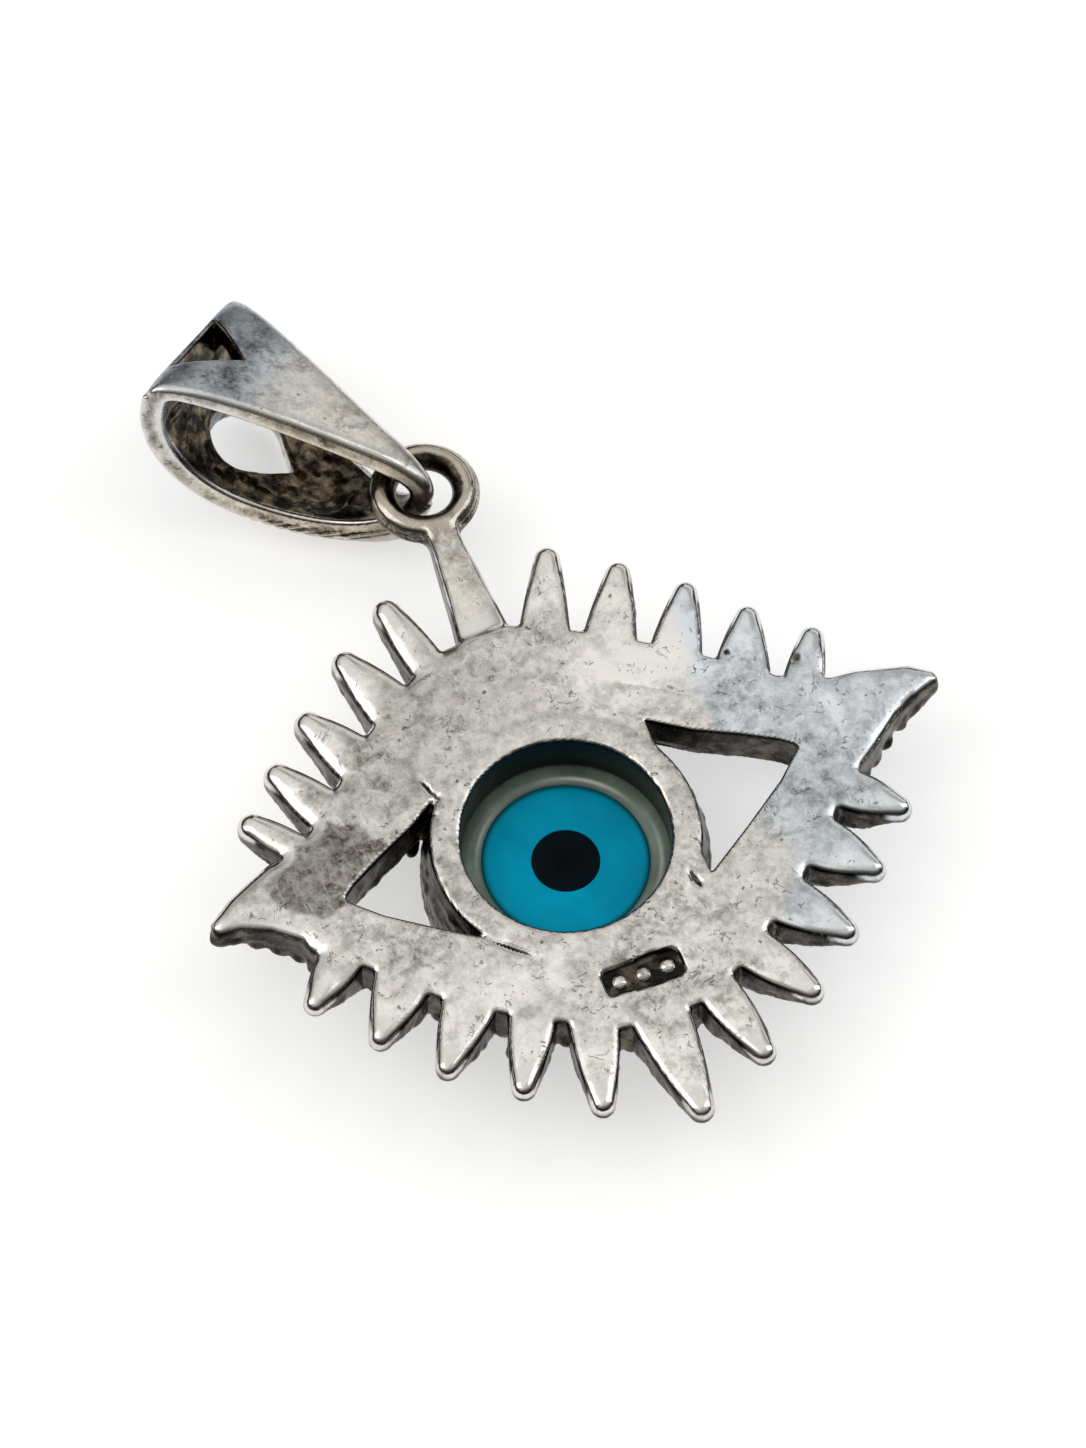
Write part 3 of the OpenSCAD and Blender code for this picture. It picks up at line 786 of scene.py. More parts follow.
def eye_shade(points, roll, above_lid):
    """Painted reflections and stains of the back face: sharp-edged painted dark reflections of flat facets
    inside the rolled edge, and soft duller and brighter patches, partly stains and partly painted
    reflections.
    """
    x, y, _ = points.T
    shade = np.zeros(len(points))
    # Painted dark reflections of flat facets, with wobbly sharp edges
    for dark_x, dark_y, wide, high, amount in DARK_FACET_REFLECTIONS:
        gap = np.hypot((x - dark_x) / wide, (y - dark_y) / high)
        gap = gap - 0.22 * noise(points, 0.9, 51) - 0.08 * noise(points, 0.35, 52)
        shade = shade + amount * (1 - smooth_step(gap, 0.88, 1.02)) * (1 + 0.25 * noise(points, 0.8, 53))
    shade = shade * (1 - smooth_step(roll, 0.02, 0.2))
    # Soft patches: stains, and painted reflections where they are bright
    for patch_x, patch_y, wide, high, amount in STAIN_AND_REFLECTION_PATCHES:
        shade = shade + amount * np.exp(-(((x - patch_x) / wide) ** 2 + ((y - patch_y) / high) ** 2))
    return shade * (1 - above_lid)


def eye_looks(block, points, normals, grids):
    """The eye's values for its material, by name, and how rough-cast each point is."""
    eye, roll, top = (block.read(grid, points) for grid in grids)
    x, y, z = points.T
    depth = top - z
    side = 1 - np.abs(normals[:, 2])
    facing_up = normals[:, 2] > 0
    above_lid = smooth_step(y, LID_UP + 0.3, LID_UP + 1.5) * (np.abs(x) < 2.6)
    on_ring = above_lid * smooth_step(y, RING_Y - RING_R - 1.2, RING_Y - RING_R)
    on_lash = smooth_step(eye, 0.2, 1.4) * (depth < 0.5)
    tip_gap = np.min([np.hypot(x - lash.tip[0], y - lash.tip[1]) for lash in lashes], axis=0)
    at_tip = 1 - smooth_step(tip_gap, 0.45, 1.15)
    well = (np.hypot(x - STONE_X, y) < HOLE_R + 0.05) & (depth > 0.03)
    in_panel = (np.abs(x - PANEL[0]) < PANEL_L / 2) & (np.abs(y - PANEL[1]) < PANEL_W / 2) & facing_up

    # Soot on the walls and in grooves, less on the tips
    soot_and_painted_shade = smooth_step(side, 0.20, 0.42) * smooth_step(depth, 0.02, 0.08)
    groove = 1 - block.openness(points, normals, 0.7)
    soot_and_painted_shade = np.maximum(soot_and_painted_shade, smooth_step(depth, 0.5, 1.1) * groove)
    soot_and_painted_shade = soot_and_painted_shade * (1 - at_tip * (0.7 - 0.45 * smooth_step(depth, 0.15, 0.5)))
    # Under, inside and beside the ring: painted shade below and inside it, partly oxide, and a painted dark
    # reflection on its sides
    inward = RING_R - np.hypot(x - RING_X, y - RING_Y)
    ring_shade_and_soot = 0.85 * smooth_step(depth + 0.25 * noise(points, 0.9, 54), 0.65, 1.3)
    ring_shade_and_soot = np.maximum(ring_shade_and_soot, 0.9 * smooth_step(inward, -0.02, 0.26) * (inward < 0.7))
    ring_shade_and_soot = np.maximum(ring_shade_and_soot, 0.65 * smooth_step(side + 0.1 * noise(points, 0.6, 55), 0.22, 0.62))
    soot_and_painted_shade = soot_and_painted_shade * (1 - above_lid) + ring_shade_and_soot * above_lid
    # Painted shade on the wall of the glass's hole; soot in the cracks and the panel
    soot_and_painted_shade = np.where(well, np.maximum(soot_and_painted_shade, smooth_step(depth, 0.03, 0.10)), soot_and_painted_shade)
    cracks = crack_depth(x, y, 0.09 * noise(points * [1, 1, 0], 0.45, 6))
    soot_and_painted_shade = np.maximum(soot_and_painted_shade, smooth_step(cracks, 0.03, 0.09) * facing_up)
    soot_and_painted_shade = np.where(in_panel, smooth_step(depth, 0.12, 0.20), soot_and_painted_shade)

    polish = np.maximum(0.8 * at_tip, smooth_step(roll, 0.12, 0.6) * (depth < 0.5)) * (1 - above_lid)
    polish = np.maximum(polish, smooth_step(side, 0.03, 0.12) * (1 - smooth_step(depth, 0.2, 0.6)))
    polish = np.maximum(polish, 0.75 * on_ring) * (1 - soot_and_painted_shade)
    # Painted shade inside the first two dents, set off towards their upper side
    for dent_x, dent_y, size, _ in DENTS[:2]:
        gap = np.hypot(x - dent_x, y - dent_y - 0.4 * size)
        soot_and_painted_shade = np.maximum(soot_and_painted_shade, 0.85 * hill(gap, size) * facing_up)

    shade = eye_shade(points, roll, above_lid) - LASH_BRIGHT * on_lash
    shade = (shade + RING_SHADE * on_ring + NECK_SHADE * above_lid) * facing_up * (1 - 0.5 * polish)
    # Painted cool reflection on the right side; warmer on the neck and the ring
    cool = smooth_step(x + 1.5 * noise(points, 2.0, 41), 4.5, 7.5) - 0.28 - 0.1 * above_lid - 0.35 * on_ring
    # The wall of the glass's hole gets the painted teal reflection of the glass; the panel's floor gets a
    # little of its dark teal
    tint = np.where(in_panel, PANEL_TINT, well.astype(float))
    rough = smooth_step(side, 0.3, 0.8) * smooth_step(depth, 0.4, 0.9)
    rough = rough * (1 - at_tip) * (1 - above_lid) * ~well
    return {"soot_and_painted_shade": soot_and_painted_shade, "polish": polish, "shade": shade, "cool": cool, "well": tint}, rough


def silver_eye():
    """Plate, lashes, setting, neck and ring in one skin."""
    edge = 0.6
    shift = np.array([MIDDLE[0], MIDDLE[1], 0])
    block = Block(eye_low - edge - shift, eye_high + edge - shift, EYE_STEP)
    grids = add_plate(block)
    add_setting(block, grids[2])
    add_beads(block)
    add_neck_and_ring(block)
    add_claw(block)
    cut_panel(block)

    piece = skin_object("silver_eye_cast", block, EYE_TRIANGLES)
    points = mesh_points(piece)
    normals = block.slope(points)
    looks, rough = eye_looks(block, points, normals, grids)
    moved = noise(points, 0.50, 11) * 0.085 + noise(points, 0.26, 12) * 0.035
    points = points + normals * (rough * moved)[:, None]
    set_mesh_points(piece, points + shift)
    set_values(piece, **looks)
    return piece


# Bail, with x from the ring's middle to the bend and z up, before it is turned
ring_hole = RING_R - WIRE_R
tip_reach = TIP_SHARES[0] * ring_hole
tip_side = TIP_SHARES[1] * ring_hole
bend_u = BAIL_L - tip_reach


def strap_side(inset, count=120):
    """Side view of the loop's outside, or of its inside at an inset."""
    angle = 2 * np.pi * (np.arange(count) + 0.5) / count
    length = BAIL_L - 2 * inset
    upper = np.sin(angle) >= 0
    height = np.where(upper, BAIL_UP, BAIL_DOWN) - inset
    share = (np.where(upper, BACK_STRAP[0], FRONT_STRAP[0]) * BAIL_L - inset) / length
    power = 2 / np.where(upper, BACK_STRAP[1], FRONT_STRAP[1])
    far = share * length
    reach = np.where(np.cos(angle) < 0, far, length - far)
    u = far + reach * np.sign(np.cos(angle)) * np.abs(np.cos(angle)) ** power + inset
    v = height * np.sign(np.sin(angle)) * np.abs(np.sin(angle)) ** power
    return np.stack([u - tip_reach, v], axis=1)


def strap_shares(x, y, z):
    """Where a point lies on the strap: (share of half width, half width, lift of the far side)."""
    u = np.clip(x + tip_reach, 0, BAIL_L)
    widest = FRONT_STRAP[0] * BAIL_L
    turn = np.where(u < widest, (u - widest) / widest, (u - widest) / (BAIL_L - widest))
    far = np.clip(1 - turn ** 2, 0, 1) * smooth_step(-z, 0.0, 0.8) * (y < tip_side)
    half = (TIP_W + (BEND_W - TIP_W) * (u / BAIL_L) ** TAPER_POWER) / 2 + FRONT_FAR_W * far
    share = (y - tip_side) / half
    return share, half, FRONT_FAR_LIFT * far * np.minimum(share ** 2, 1.3)


def lifted(block, plane, lift):
    """Values of a side-view grid, read lower by the lift."""
    place = np.clip((block.z - lift - block.low[2]) / block.step, 0, plane.shape[1] - 1.001)
    base = place.astype(int)
    part = place - base
    row = np.arange(plane.shape[0])[:, None, None]
    return plane[row, base] * (1 - part) + plane[row, base + 1] * part


def rope(share, x, z):
    """Slanted notches on the front strap's near edge: (where they are, their height)."""
    where = smooth_step(share, 0.80, 0.90) * smooth_step(-z, 1.6, 2.4) * (1 - smooth_step(x, 4.2, 6.2))
    return where, np.sin(2 * np.pi * (x + 1.1 * z) / ROPE_PITCH)


def bend_wedge(x, y, z):
    """Window over the bend: a wedge that opens to the outside, with a floor that falls inward."""
    shape = polygon_distance(x, y, [[bend_u - BEND_WINDOW_L, tip_side],
                                    [bend_u - STRAP_T / 4, tip_side + BEND_WINDOW_W],
                                    [bend_u + 1, tip_side + BEND_WINDOW_W],
                                    [bend_u + 1, tip_side - BEND_WINDOW_W],
                                    [bend_u - STRAP_T / 4, tip_side - BEND_WINDOW_W]])
    inward = np.maximum(bend_u - 0.22 - x, 0)
    return np.maximum(shape, BEND_LIP_Z - np.minimum(1.5 * inward, 2.0) - z)


def front_drop(x, y, z):
    """Drop-shaped window through the front strap, whose walls lean to the far side."""
    below = z - (STRAP_T - BAIL_DOWN)
    plan_x = x - (bend_u - DROP_FROM_BEND - DROP_R)
    plan_y = (y - tip_side + DROP_SIDE - below * math.tan(DROP_LEAN)) * math.cos(DROP_LEAN)
    tail = DROP_L - DROP_R
    touch_u = -DROP_R * DROP_R / tail
    touch_y = DROP_R * math.sqrt(1 - (DROP_R / tail) ** 2)
    drop = np.minimum(np.hypot(plan_x, plan_y) - DROP_R,
                      polygon_distance(plan_x, plan_y, [[-tail, 0], [touch_u, touch_y], [touch_u, -touch_y]]))
    return np.maximum(drop, z + 0.33 * BAIL_DOWN)


def add_strap(block):
    """Strap bent into a loop: crowned, dented outside, rough inside, and pierced."""
    x, y, z = block.x, block.y, block.z
    share, half, lift = strap_shares(x, y, z)
    outer, inner = (lifted(block, polygon_distance(x[:, 0, :], z[0], strap_side(inset)), lift)
                    for inset in (0, STRAP_T))
    spots = np.stack(np.broadcast_arrays(x, y, z), axis=-1).reshape(-1, 3)
    rough = (0.10 * noise(spots, 0.8, 21) + 0.05 * noise(spots, 0.36, 22)).reshape(block.field.shape)
    dents = (0.020 * noise(spots, 1.7, 23) + 0.010 * noise(spots, 0.8, 24)).reshape(block.field.shape)
    where, twist = rope(share, x, z)
    low_half = smooth_step(inner, 0.42, 0.52)
    from_side = half * (1 - np.abs(share))
    crown = FRONT_CROWN * smooth_step(-z, 0.0, 2.6) * np.clip(1 - share ** 2, 0, 1)
    outside = outer - crown + where * (0.03 - 0.05 * twist)
    outside = outside + dents + 0.16 * np.exp(-from_side / 0.35) * (z > 0)
    inner = inner + rough * smooth_step(from_side, 0.35, 0.9)
    sides = -from_side - where * low_half * (0.02 + 0.06 * twist)
    strap = round_max(outside, sides, STRAP_EDGE_R)
    strap = round_max(strap, -inner, STRAP_INSIDE_R)
    strap = round_max(strap, -bend_wedge(x, y, z), CUT_EDGE_R)
    block.field = round_max(strap, -front_drop(x, y, z), CUT_EDGE_R).astype(np.float32)


def bail_looks(block, points, normals):
    """The bail's values for its material, by name."""
    x, y, z = points.T
    share, half, lift = strap_shares(x, y, z)
    inside_gap = polygon_distance(x, z - lift, strap_side(STRAP_T))
    from_side = half * (1 - np.abs(share))
    where, twist = rope(share, x, z)

    # Soot on the inner face, in grooves, between the rope's notches and in the bend's window
    soot_and_painted_shade = (1 - smooth_step(inside_gap, 0.12, 0.28)) * smooth_step(from_side, 0.10, 0.35)
    soot_and_painted_shade = np.maximum(soot_and_painted_shade, 0.9 * (1 - smooth_step(block.openness(points, normals, 0.35), 0.5, 0.95)))
    notches = 0.85 * where * smooth_step(-twist, 0.1, 0.8)
    soot_and_painted_shade = np.maximum(soot_and_painted_shade, notches * smooth_step(inside_gap, 0.42, 0.52))
    in_wedge = 1 - smooth_step(np.abs(bend_wedge(x, y, z)), 0.02, 0.12)
    in_wedge = in_wedge * (1 - smooth_step(normals[:, 2], 0.80, 0.97)) * (z > -0.8)
    soot_and_painted_shade = np.maximum(soot_and_painted_shade, 0.9 * in_wedge)

    # Strap with a painted darker, cooler reflection and painted bands at the bend, a painted bright
    # reflection on the middle of its top, stained at its far edge, and painted shade at its tip
    stained = 0.5 + 0.5 * noise(points * [0.5, 1, 1], 0.9, 31)
    to_bend = smooth_step(x + 0.5 * noise(points, 1.2, 32), BAIL_L * 0.42, BAIL_L * 0.80)
    far_edge = smooth_step(share, 0.3, 0.9) * (1 - to_bend)
    reflection_bands = 0.2 * np.sin(x * 3.1 + 1.2 * share)
    top_reflections_and_stains = to_bend * (0.9 + reflection_bands) + 0.6 * far_edge * stained - 0.65 * (1 - to_bend) * (1 - far_edge)
    # Side face with a painted dark reflection along its middle, mottled by stains
    side_face = smooth_step(np.abs(normals[:, 1]), 0.55, 0.85)
    across = hill(inside_gap - 0.48, 0.24)
    shade = np.where(side_face > 0.5, 0.05 + across * (0.35 + 0.7 * stained), top_reflections_and_stains)
    # Painted shade on the tip where it passes through the ring
    shade = np.maximum(shade, 0.9 * (1 - smooth_step(x, 0.6, 2.6)))

    polish = np.clip(1 - from_side / 0.5, 0, 1) * (1 - soot_and_painted_shade) * smooth_step(normals[:, 2], 0.3, 0.6)
    polish = np.maximum(polish, 0.8 * side_face * (1 - smooth_step(across, 0.1, 0.5)) * (1 - soot_and_painted_shade))
    # Painted cool reflection on the top at the bend; warmer elsewhere and on the side faces
    cool = to_bend * (1 - side_face) - 0.35 * (1 - to_bend) - 0.4 * side_face
    return {"soot_and_painted_shade": soot_and_painted_shade, "polish": polish, "shade": shade, "cool": cool, "well": np.zeros(len(points))}


def turned(a, b, angle):
    """Two coordinates turned by an angle, from a towards b."""
    return math.cos(angle) * a - math.sin(angle) * b, math.sin(angle) * a + math.cos(angle) * b


def turned_bail(points):
    """Bail points in the row frame: rolled, pitched and yawed about the ring's middle."""
    x, y, z = points.T
    y, z = turned(y, z, BAIL_ROLL)
    x, z = turned(x, z, BAIL_PITCH)
    x, y = turned(x, y, math.pi / 2 + BAIL_YAW)
    bail_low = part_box("bail")[0][2] / MM
    lift = bail_low - z.min()
    return np.stack([x + MIDDLE[0] + RING_X, y + MIDDLE[1] + RING_Y, z + lift], axis=1)


def bail():
    """The bail in one skin, turned as it lies in the photo."""
    edge = 0.5
    low = np.array([-tip_reach, tip_side - BEND_W / 2 - FRONT_FAR_W, -BAIL_DOWN - FRONT_CROWN])
    high = np.array([BAIL_L - tip_reach, tip_side + BEND_W / 2, BAIL_UP])
    block = Block(low - edge, high + edge, BAIL_STEP)
    add_strap(block)
    piece = skin_object("bail_loop", block, BAIL_TRIANGLES)
    points = mesh_points(piece)
    looks = bail_looks(block, points, block.slope(points))
    set_mesh_points(piece, turned_bail(points))
    set_values(piece, **looks)
    return piece


# Glass
glass_front = glass_low[2] + DOME_H


def front_z(radius):
    return glass_front - DOME_H * max(0, 1 - (radius / (HOLE_R + 0.05)) ** 2)


def arc(centre_r, centre_z, radius_r, radius_z, start, end, count):
    """Rounded part of a profile, between two angles in degrees."""
    return [(centre_r + radius_r * math.cos(math.radians(a)), centre_z + radius_z * math.sin(math.radians(a)))
            for a in np.linspace(start, end, count)]


def turned_piece(name, profile, rim_r, rim_w, steps=160):
    """Closed round piece from (radius, height) pairs; near rim_r it is marked as dark rim."""
    rings = len(profile)
    points, faces = [], []
    for turn in 2 * np.pi * np.arange(steps) / steps:
        for radius, height in profile:
            points.append([STONE[0] + radius * math.cos(turn), STONE[1] + radius * math.sin(turn), height])
    has_hole = profile[0][0] > 0
    for i in range(steps):
        after = (i + 1) % steps
        for j in range(rings if has_hole else rings - 1):
            k = (j + 1) % rings
            faces.append([i * rings + j, after * rings + j, after * rings + k, i * rings + k])
    piece = mesh_object(name, points, faces)
    if not has_hole:
        apply_modifier(piece, "WELD", merge_threshold=1e-7)
    place = mesh_points(piece)[:, :2] - STONE
    radius = np.hypot(*place.T)
    turn = np.arctan2(place[:, 1], place[:, 0])
    # Painted highlight arcs on the pale glass's shoulder
    arcs = 0
    for reach, width, way, spread, strength in PAINTED_HIGHLIGHT_ARCS:
        arcs = arcs + strength * hill(radius - IRIS_R - reach, width) * hill(turn - way, spread)
    rim = 1 - smooth_step(np.abs(radius - rim_r), 0, rim_w)
    set_values(piece, rim=rim, arcs=arcs * (radius > IRIS_R + 0.03))
    return piece


def glass_pieces():
    """Pale ring, blue disc and black dot, nested with a thin joint between them."""
    inner = IRIS_R + GLASS_GAP
    crest = GLASS_R - SHOULDER_R
    ring = [(inner, front_z(inner)), (3.7, front_z(3.7)), (HOLE_R, front_z(HOLE_R))]
    ring += [(GLASS_R - 0.1, front_z(GLASS_R)), (GLASS_R, glass_front + 0.12)]
    ring += [(GLASS_R, GLASS_TOP - SHOULDER_D - 0.35)]
    ring += arc(crest, GLASS_TOP - SHOULDER_D, SHOULDER_R, SHOULDER_D, 0, 90, 14)
    ring += [(crest + (inner - crest) * share, GLASS_TOP - STEP_DOWN * share ** 2)
             for share in np.linspace(0.12, 1, 9)]
    pale = turned_piece("glass_pale_ring", ring, inner, 0.16)
    iris_top = GLASS_TOP - STEP_DOWN
    iris_inner = PUPIL_R + GLASS_GAP
    iris = [(iris_inner, front_z(iris_inner)), (2.2, front_z(2.2)), (IRIS_R, front_z(IRIS_R))]
    iris += arc(IRIS_R - 0.04, iris_top - 0.04, 0.04, 0.04, 0, 90, 4)
    iris += [(IRIS_R - reach, iris_top) for reach in (0.08, 0.12, 0.16, 0.22, 0.30, 0.6)]
    iris += arc(iris_inner + 0.02, iris_top - 0.02, 0.02, 0.02, 90, 180, 3)
    blue = turned_piece("glass_blue_disc", iris, IRIS_R, 0.24)
    pupil = [(0, front_z(0)), (0.7, front_z(0.7)), (PUPIL_R, front_z(PUPIL_R))]
    pupil += arc(PUPIL_R - 0.04, iris_top - 0.04, 0.04, 0.04, 0, 90, 4) + [(0, iris_top)]
    black = turned_piece("glass_black_dot", pupil, PUPIL_R, 0.1)
    return pale, blue, black


# Materials
def feed(tree, target, value):
    """Links an input to a node's output, or sets its value."""
    if isinstance(value, Output):
        tree.links.new(value.socket, target)
    else:
        target.default_value = value


def add_node(tree, kind, *values, **settings):
    """New node, with its settings by name and its first inputs in their order."""
    made = tree.nodes.new(kind)
    for name, value in settings.items():
        setattr(made, name, value)
    for target, value in zip(made.inputs, values):
        feed(tree, target, value)
    return made


class Output:
    """A node's output. Sums, products and the other methods lead it on to a new node."""

    def __init__(self, tree, socket):
        self.tree = tree
        self.socket = socket

    def into(self, kind, *others, **settings):
        """First output of a new node that takes this one and then others as its inputs."""
        return Output(self.tree, add_node(self.tree, kind, self, *others, **settings).outputs[0])

    def math(self, operation, other=0):
        return self.into("ShaderNodeMath", other, operation=operation)

    def __add__(self, other):
        return self.math("ADD", other)

    def __sub__(self, other):
        return self.math("SUBTRACT", other)

    def __mul__(self, other):
        return self.math("MULTIPLY", other)

    def most(self, other):
        return self.math("MAXIMUM", other)

    def ramp(self, start, end, low=0.0, high=1.0):
        """Smooth change from low to high, while the value goes from start to end."""
        return self.into("ShaderNodeMapRange", start, end, low, high, interpolation_type="SMOOTHSTEP")

    def mix(self, first, second):
        """Colour between two, with this output as the share of the second."""
        made = add_node(self.tree, "ShaderNodeMix", self, data_type="RGBA")
        ends = [socket for socket in made.inputs if socket.type == "RGBA"]
        for target, value in zip(ends, (first, second)):
            feed(self.tree, target, value + (1.0,) if isinstance(value, tuple) else value)
        return Output(self.tree, [socket for socket in made.outputs if socket.type == "RGBA"][0])

    def texture(self, kind, wanted, **sizes):
        """Wanted output of a texture over this space, with its sizes set by name."""
        made = add_node(self.tree, kind, self)
        for name, value in sizes.items():
            made.inputs[name].default_value = value
        return Output(self.tree, made.outputs[wanted])

    def noise(self, scale, detail, rough=0.6, twist=0.0):
        sizes = {"Scale": scale, "Detail": detail, "Roughness": rough, "Distortion": twist}
        return self.texture("ShaderNodeTexNoise", "Fac", **sizes)

    def spots(self, scale):
        """Distance from the nearest of many scattered places."""
        return self.texture("ShaderNodeTexVoronoi", "Distance", Scale=scale)

    def stretched(self, turn, scale):
        """This space turned about Z and scaled, for scratches that run one way."""
        return self.into("ShaderNodeMapping", (0, 0, 0), (0, 0, math.radians(turn)), scale)

    def bent(self, scale, reach):
        """This space moved to and fro by a noise."""
        wobble = self.texture("ShaderNodeTexNoise", "Color", Scale=scale)
        return wobble.into("ShaderNodeVectorMath", (reach, reach, reach), self, operation="MULTIPLY_ADD")


class Material:
    """New material, with its Principled shader and the space and point values that it reads."""

    def __init__(self, name):
        self.made = bpy.data.materials.new(name)
        self.made.use_nodes = True
        self.tree = self.made.node_tree
        self.shader = self.tree.nodes["Principled BSDF"]

    def place(self):
        return Output(self.tree, add_node(self.tree, "ShaderNodeTexCoord").outputs["Object"])

    def value(self, name):
        made = add_node(self.tree, "ShaderNodeAttribute", attribute_name=name)
        return Output(self.tree, made.outputs["Fac"])

    def set(self, **values):
        """Feeds the shader's inputs, which are named with _ for a blank."""
        for name, value in values.items():
            feed(self.tree, self.shader.inputs[name.replace("_", " ")], value)

    def bump(self, height, strength, distance):
        made = add_node(self.tree, "ShaderNodeBump", strength, distance)
        feed(self.tree, made.inputs["Height"], height)
        self.set(Normal=Output(self.tree, made.outputs["Normal"]))


def tinted(tone, tint):
    return tuple(channel * share for channel, share in zip(tone, tint))


def silver_marks(where):
    """Dark pits, dots and short curly hairs, together."""
    pit = where.bent(2500, 0.0004).spots(1500).ramp(0.15, 0.08) * where.noise(900, 2).ramp(0.57, 0.60)
    dot = where.spots(4200).ramp(0.20, 0.10) * where.noise(700, 3).ramp(0.52, 0.60, 0.0, 0.6)
    # Hairs lie where a twisted noise passes its middle value
    off_middle = (where.noise(1000, 4, 0.55, 1.6) - 0.5).math("ABSOLUTE")
    hair = off_middle.ramp(0.024, 0.0) * where.noise(1500, 2).ramp(0.58, 0.62, 0.0, 0.75)
    return pit.most(dot).most(hair)


def silver_material(name):
    """Silver that reads the soot_and_painted_shade, polish, shade, cool and well values of the piece's
    points.
    """
    tone, dark_oxide_and_shade, light_oxide_and_shade, dirt_rough = SILVERS[name]
    material = Material(name)
    where = material.place()
    polish = material.value("polish")
    mottle = where.noise(1350, 8, 0.72, 0.35)
    cloud = where.noise(230, 4, 0.6, 0.6)
    fine = where.noise(4200, 4, 0.7)
    cool_sheen = material.value("cool").ramp(0, 0.7)
    warmer = material.value("cool").ramp(-0.2, -0.9)

    # Light silver with a painted cool reflection in places and warmer in others, under grey-brown stains that
    # also carry painted shade and reflections
    bare = warmer.mix(cool_sheen.mix(tone, tinted(tone, COOL_SHEEN_TINT)), tinted(tone, WARM_TINT))
    stain_and_shade = mottle.ramp(0.40, 0.66) * cloud.ramp(0.38, 0.62, 0.15, 0.80)
    speckle = fine.ramp(0.35, 0.65, 0.04, 0.38) + mottle.ramp(0.3, 0.7, 0.10, 0.40)
    # The shade values add painted shade and reflections to the stains
    stain_and_shade = (stain_and_shade + (material.value("shade") + speckle)) * 0.5
    stain_and_shade = stain_and_shade.mix((1.0, 1.0, 1.0), cool_sheen.mix(STAIN_AND_SHADE, STAIN_AND_SHADE_IN_COOL_SHEEN))
    stained = bare.into("ShaderNodeVectorMath", stain_and_shade, operation="MULTIPLY")

    # Scratches of two directions, then the polished places
    scratch = where.stretched(35, (5200, 700, 600)).noise(1, 3, 0.6, 0.8)
    other = where.stretched(-62, (5600, 800, 600)).noise(1, 3, 0.6, 0.8)
    scratches = scratch.ramp(0.63, 0.72).most(other.ramp(0.65, 0.74))
    stained = (scratches * 0.35).mix(stained, SCRATCH)
    shine = cool_sheen.mix(warmer.mix(SHINE, SHINE_WARM), SHINE_IN_COOL_SHEEN)
    bright = polish.mix(stained, shine)
    marks = silver_marks(where) * polish.ramp(0.3, 0.9, 1.0, 0.15)

    # Oxidised recesses and painted shade, with the painted teal reflection of the glass on the wall of its
    # hole
    oxide_and_shade = where.noise(1300, 6, 0.66).ramp(0.42, 0.66).mix(dark_oxide_and_shade, light_oxide_and_shade)
    oxide_and_shade = material.value("well").mix(oxide_and_shade, GLASS_REFLECTION_TEAL)
    soot_and_painted_shade = (material.value("soot_and_painted_shade") + mottle.ramp(0.25, 0.75, -0.14, 0.14)).ramp(0.25, 0.72)
    colour = (marks * 0.7).mix(soot_and_painted_shade.mix(bright, oxide_and_shade), MARK)
    rough = mottle.ramp(0.3, 0.7, 0.28, 0.42) - polish * 0.22 + soot_and_painted_shade * dirt_rough
    material.set(Base_Color=colour, Metallic=1.0, Roughness=rough)
    height = mottle * 0.22 + fine * 0.14 - marks * 0.6 - scratches * 0.12
    material.bump(height * polish.ramp(0.2, 0.8, 1.0, 0.10), 0.55, 0.00007)
    return material.made


def glass_material(name):
    """Opaque polished glass, which reads the rim and arcs values of the piece's points; the arcs are painted
    highlights.
    """
    light, deep, rim, shine = GLASSES[name]
    material = Material(name)
    where = material.place()
    colour = where.noise(420, 5, 0.6, 0.6).ramp(0.32, 0.68).mix(light, deep)
    colour = material.value("rim").mix(colour, rim)
    colour = material.value("arcs").mix(colour, ARC_HIGHLIGHT)
    material.set(Base_Color=colour, Roughness=0.16, Specular_IOR_Level=shine)
    material.bump(where.noise(2600, 3, 0.6), 0.25, 0.00002)
    return material.made


def dress(piece, material, slot, *nodes):
    piece.data.materials.clear()
    piece.data.materials.append(material)
    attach(piece, "root")
    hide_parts(*nodes)


# Camera, floor and light
def add_camera():
    """Camera at the photo's angle and distance."""
    target = Vector(((STONE[0] + AIM_MM[0]) * MM, (STONE[1] + AIM_MM[1]) * MM, BACK_Z * MM))
    back = Vector((math.sin(CAMERA_AZIMUTH) * math.cos(CAMERA_ELEVATION),
                   -math.cos(CAMERA_AZIMUTH) * math.cos(CAMERA_ELEVATION), math.sin(CAMERA_ELEVATION)))
    data = bpy.data.cameras.new("camera")
    data.sensor_fit = "VERTICAL"
    data.sensor_height = SENSOR_MM
    data.lens = FOCAL_PIXELS * SENSOR_MM / IMAGE_HEIGHT
    data.clip_start = 0.01
    camera = add_object("camera", data)
    camera.location = target + back * CAMERA_DISTANCE
    camera.rotation_euler = back.to_track_quat("Z", "Y").to_euler()
    bpy.context.scene.camera = camera


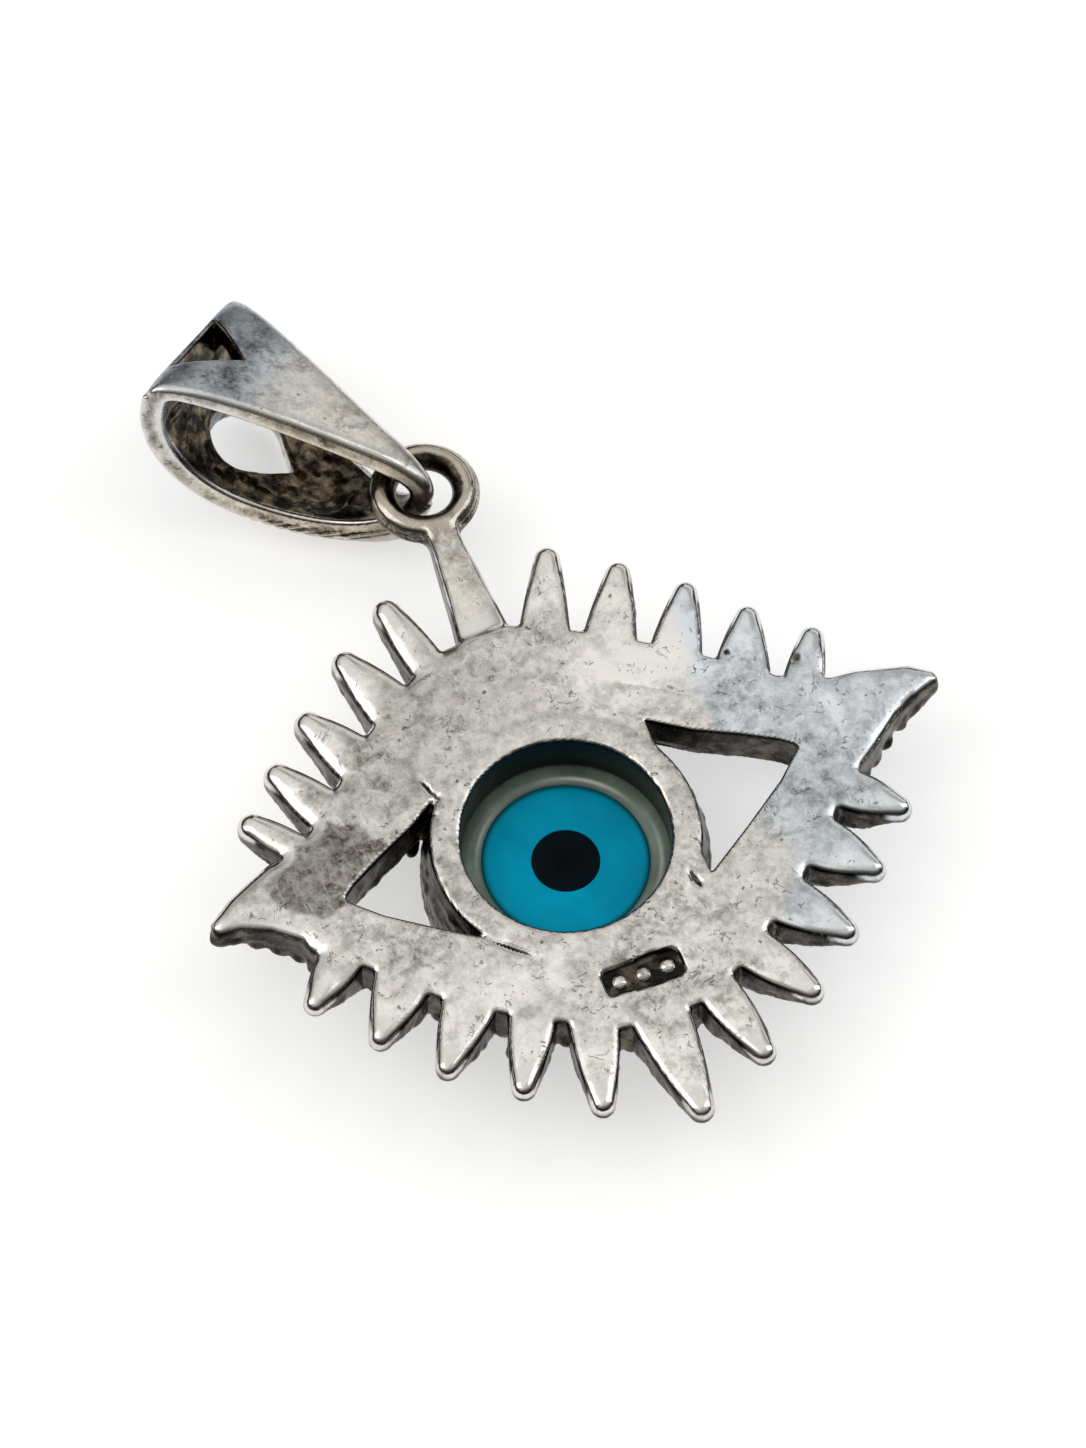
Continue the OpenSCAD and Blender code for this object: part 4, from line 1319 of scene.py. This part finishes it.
def add_floor():
    mesh = bpy.data.meshes.new("floor")
    corners = [(x * FLOOR_HALF, y * FLOOR_HALF, 0) for x, y in ((-1, -1), (1, -1), (1, 1), (-1, 1))]
    mesh.from_pydata(corners, [], [(0, 1, 2, 3)])
    floor = add_object("floor", mesh)
    paper = Material("floor_paper")
    paper.set(Base_Color=FLOOR_TONE, Roughness=0.9, Specular_IOR_Level=0.0,
              Emission_Color=(1, 1, 1, 1), Emission_Strength=FLOOR_GLOW)
    mesh.materials.append(paper.made)


def add_world():
    """Room light: dark near the horizon and behind the camera, brighter overhead."""
    world = bpy.data.worlds.new("studio")
    bpy.context.scene.world = world
    world.use_nodes = True
    tree = world.node_tree
    where = Output(tree, add_node(tree, "ShaderNodeTexCoord").outputs["Generated"])
    parts = add_node(tree, "ShaderNodeSeparateXYZ", where).outputs
    overhead = Output(tree, parts["Z"]).ramp(0.25, 0.92, 0.03, 0.68)
    ahead = Output(tree, parts["Y"]).ramp(-0.75, -0.25, 0.35, 1.0)
    background = tree.nodes["Background"].inputs
    feed(tree, background["Strength"], overhead * ahead)
    background["Color"].default_value = ROOM_TONE


def add_light(name, direction, distance, size, power, colour):
    data = bpy.data.lights.new(name, "AREA")
    data.shape = "RECTANGLE"
    data.size = size[0]
    data.size_y = size[1]
    data.energy = power
    data.color = colour
    light = add_object(name, data)
    way = Vector(direction).normalized()
    light.location = way * distance
    light.rotation_euler = way.to_track_quat("Z", "Y").to_euler()


add_camera()
add_floor()
add_world()
for light_name, light_facts in LIGHTS.items():
    add_light(light_name, *light_facts)
bpy.context.scene.view_settings.view_transform = "Standard"

silver = silver_material("cast_silver")
brown = silver_material("cast_silver_bail")
dress(silver_eye(), silver, "silver", "silver_eye")
dress(bail(), brown, "silver", "bail")
pale, blue, black = glass_pieces()
dress(pale, glass_material("pale_glass"), "pale_glass", "glass_base")
dress(blue, glass_material("blue_glass"), "blue_glass", "glass_iris")
dress(black, glass_material("black_glass"), "black_glass", "glass_pupil")
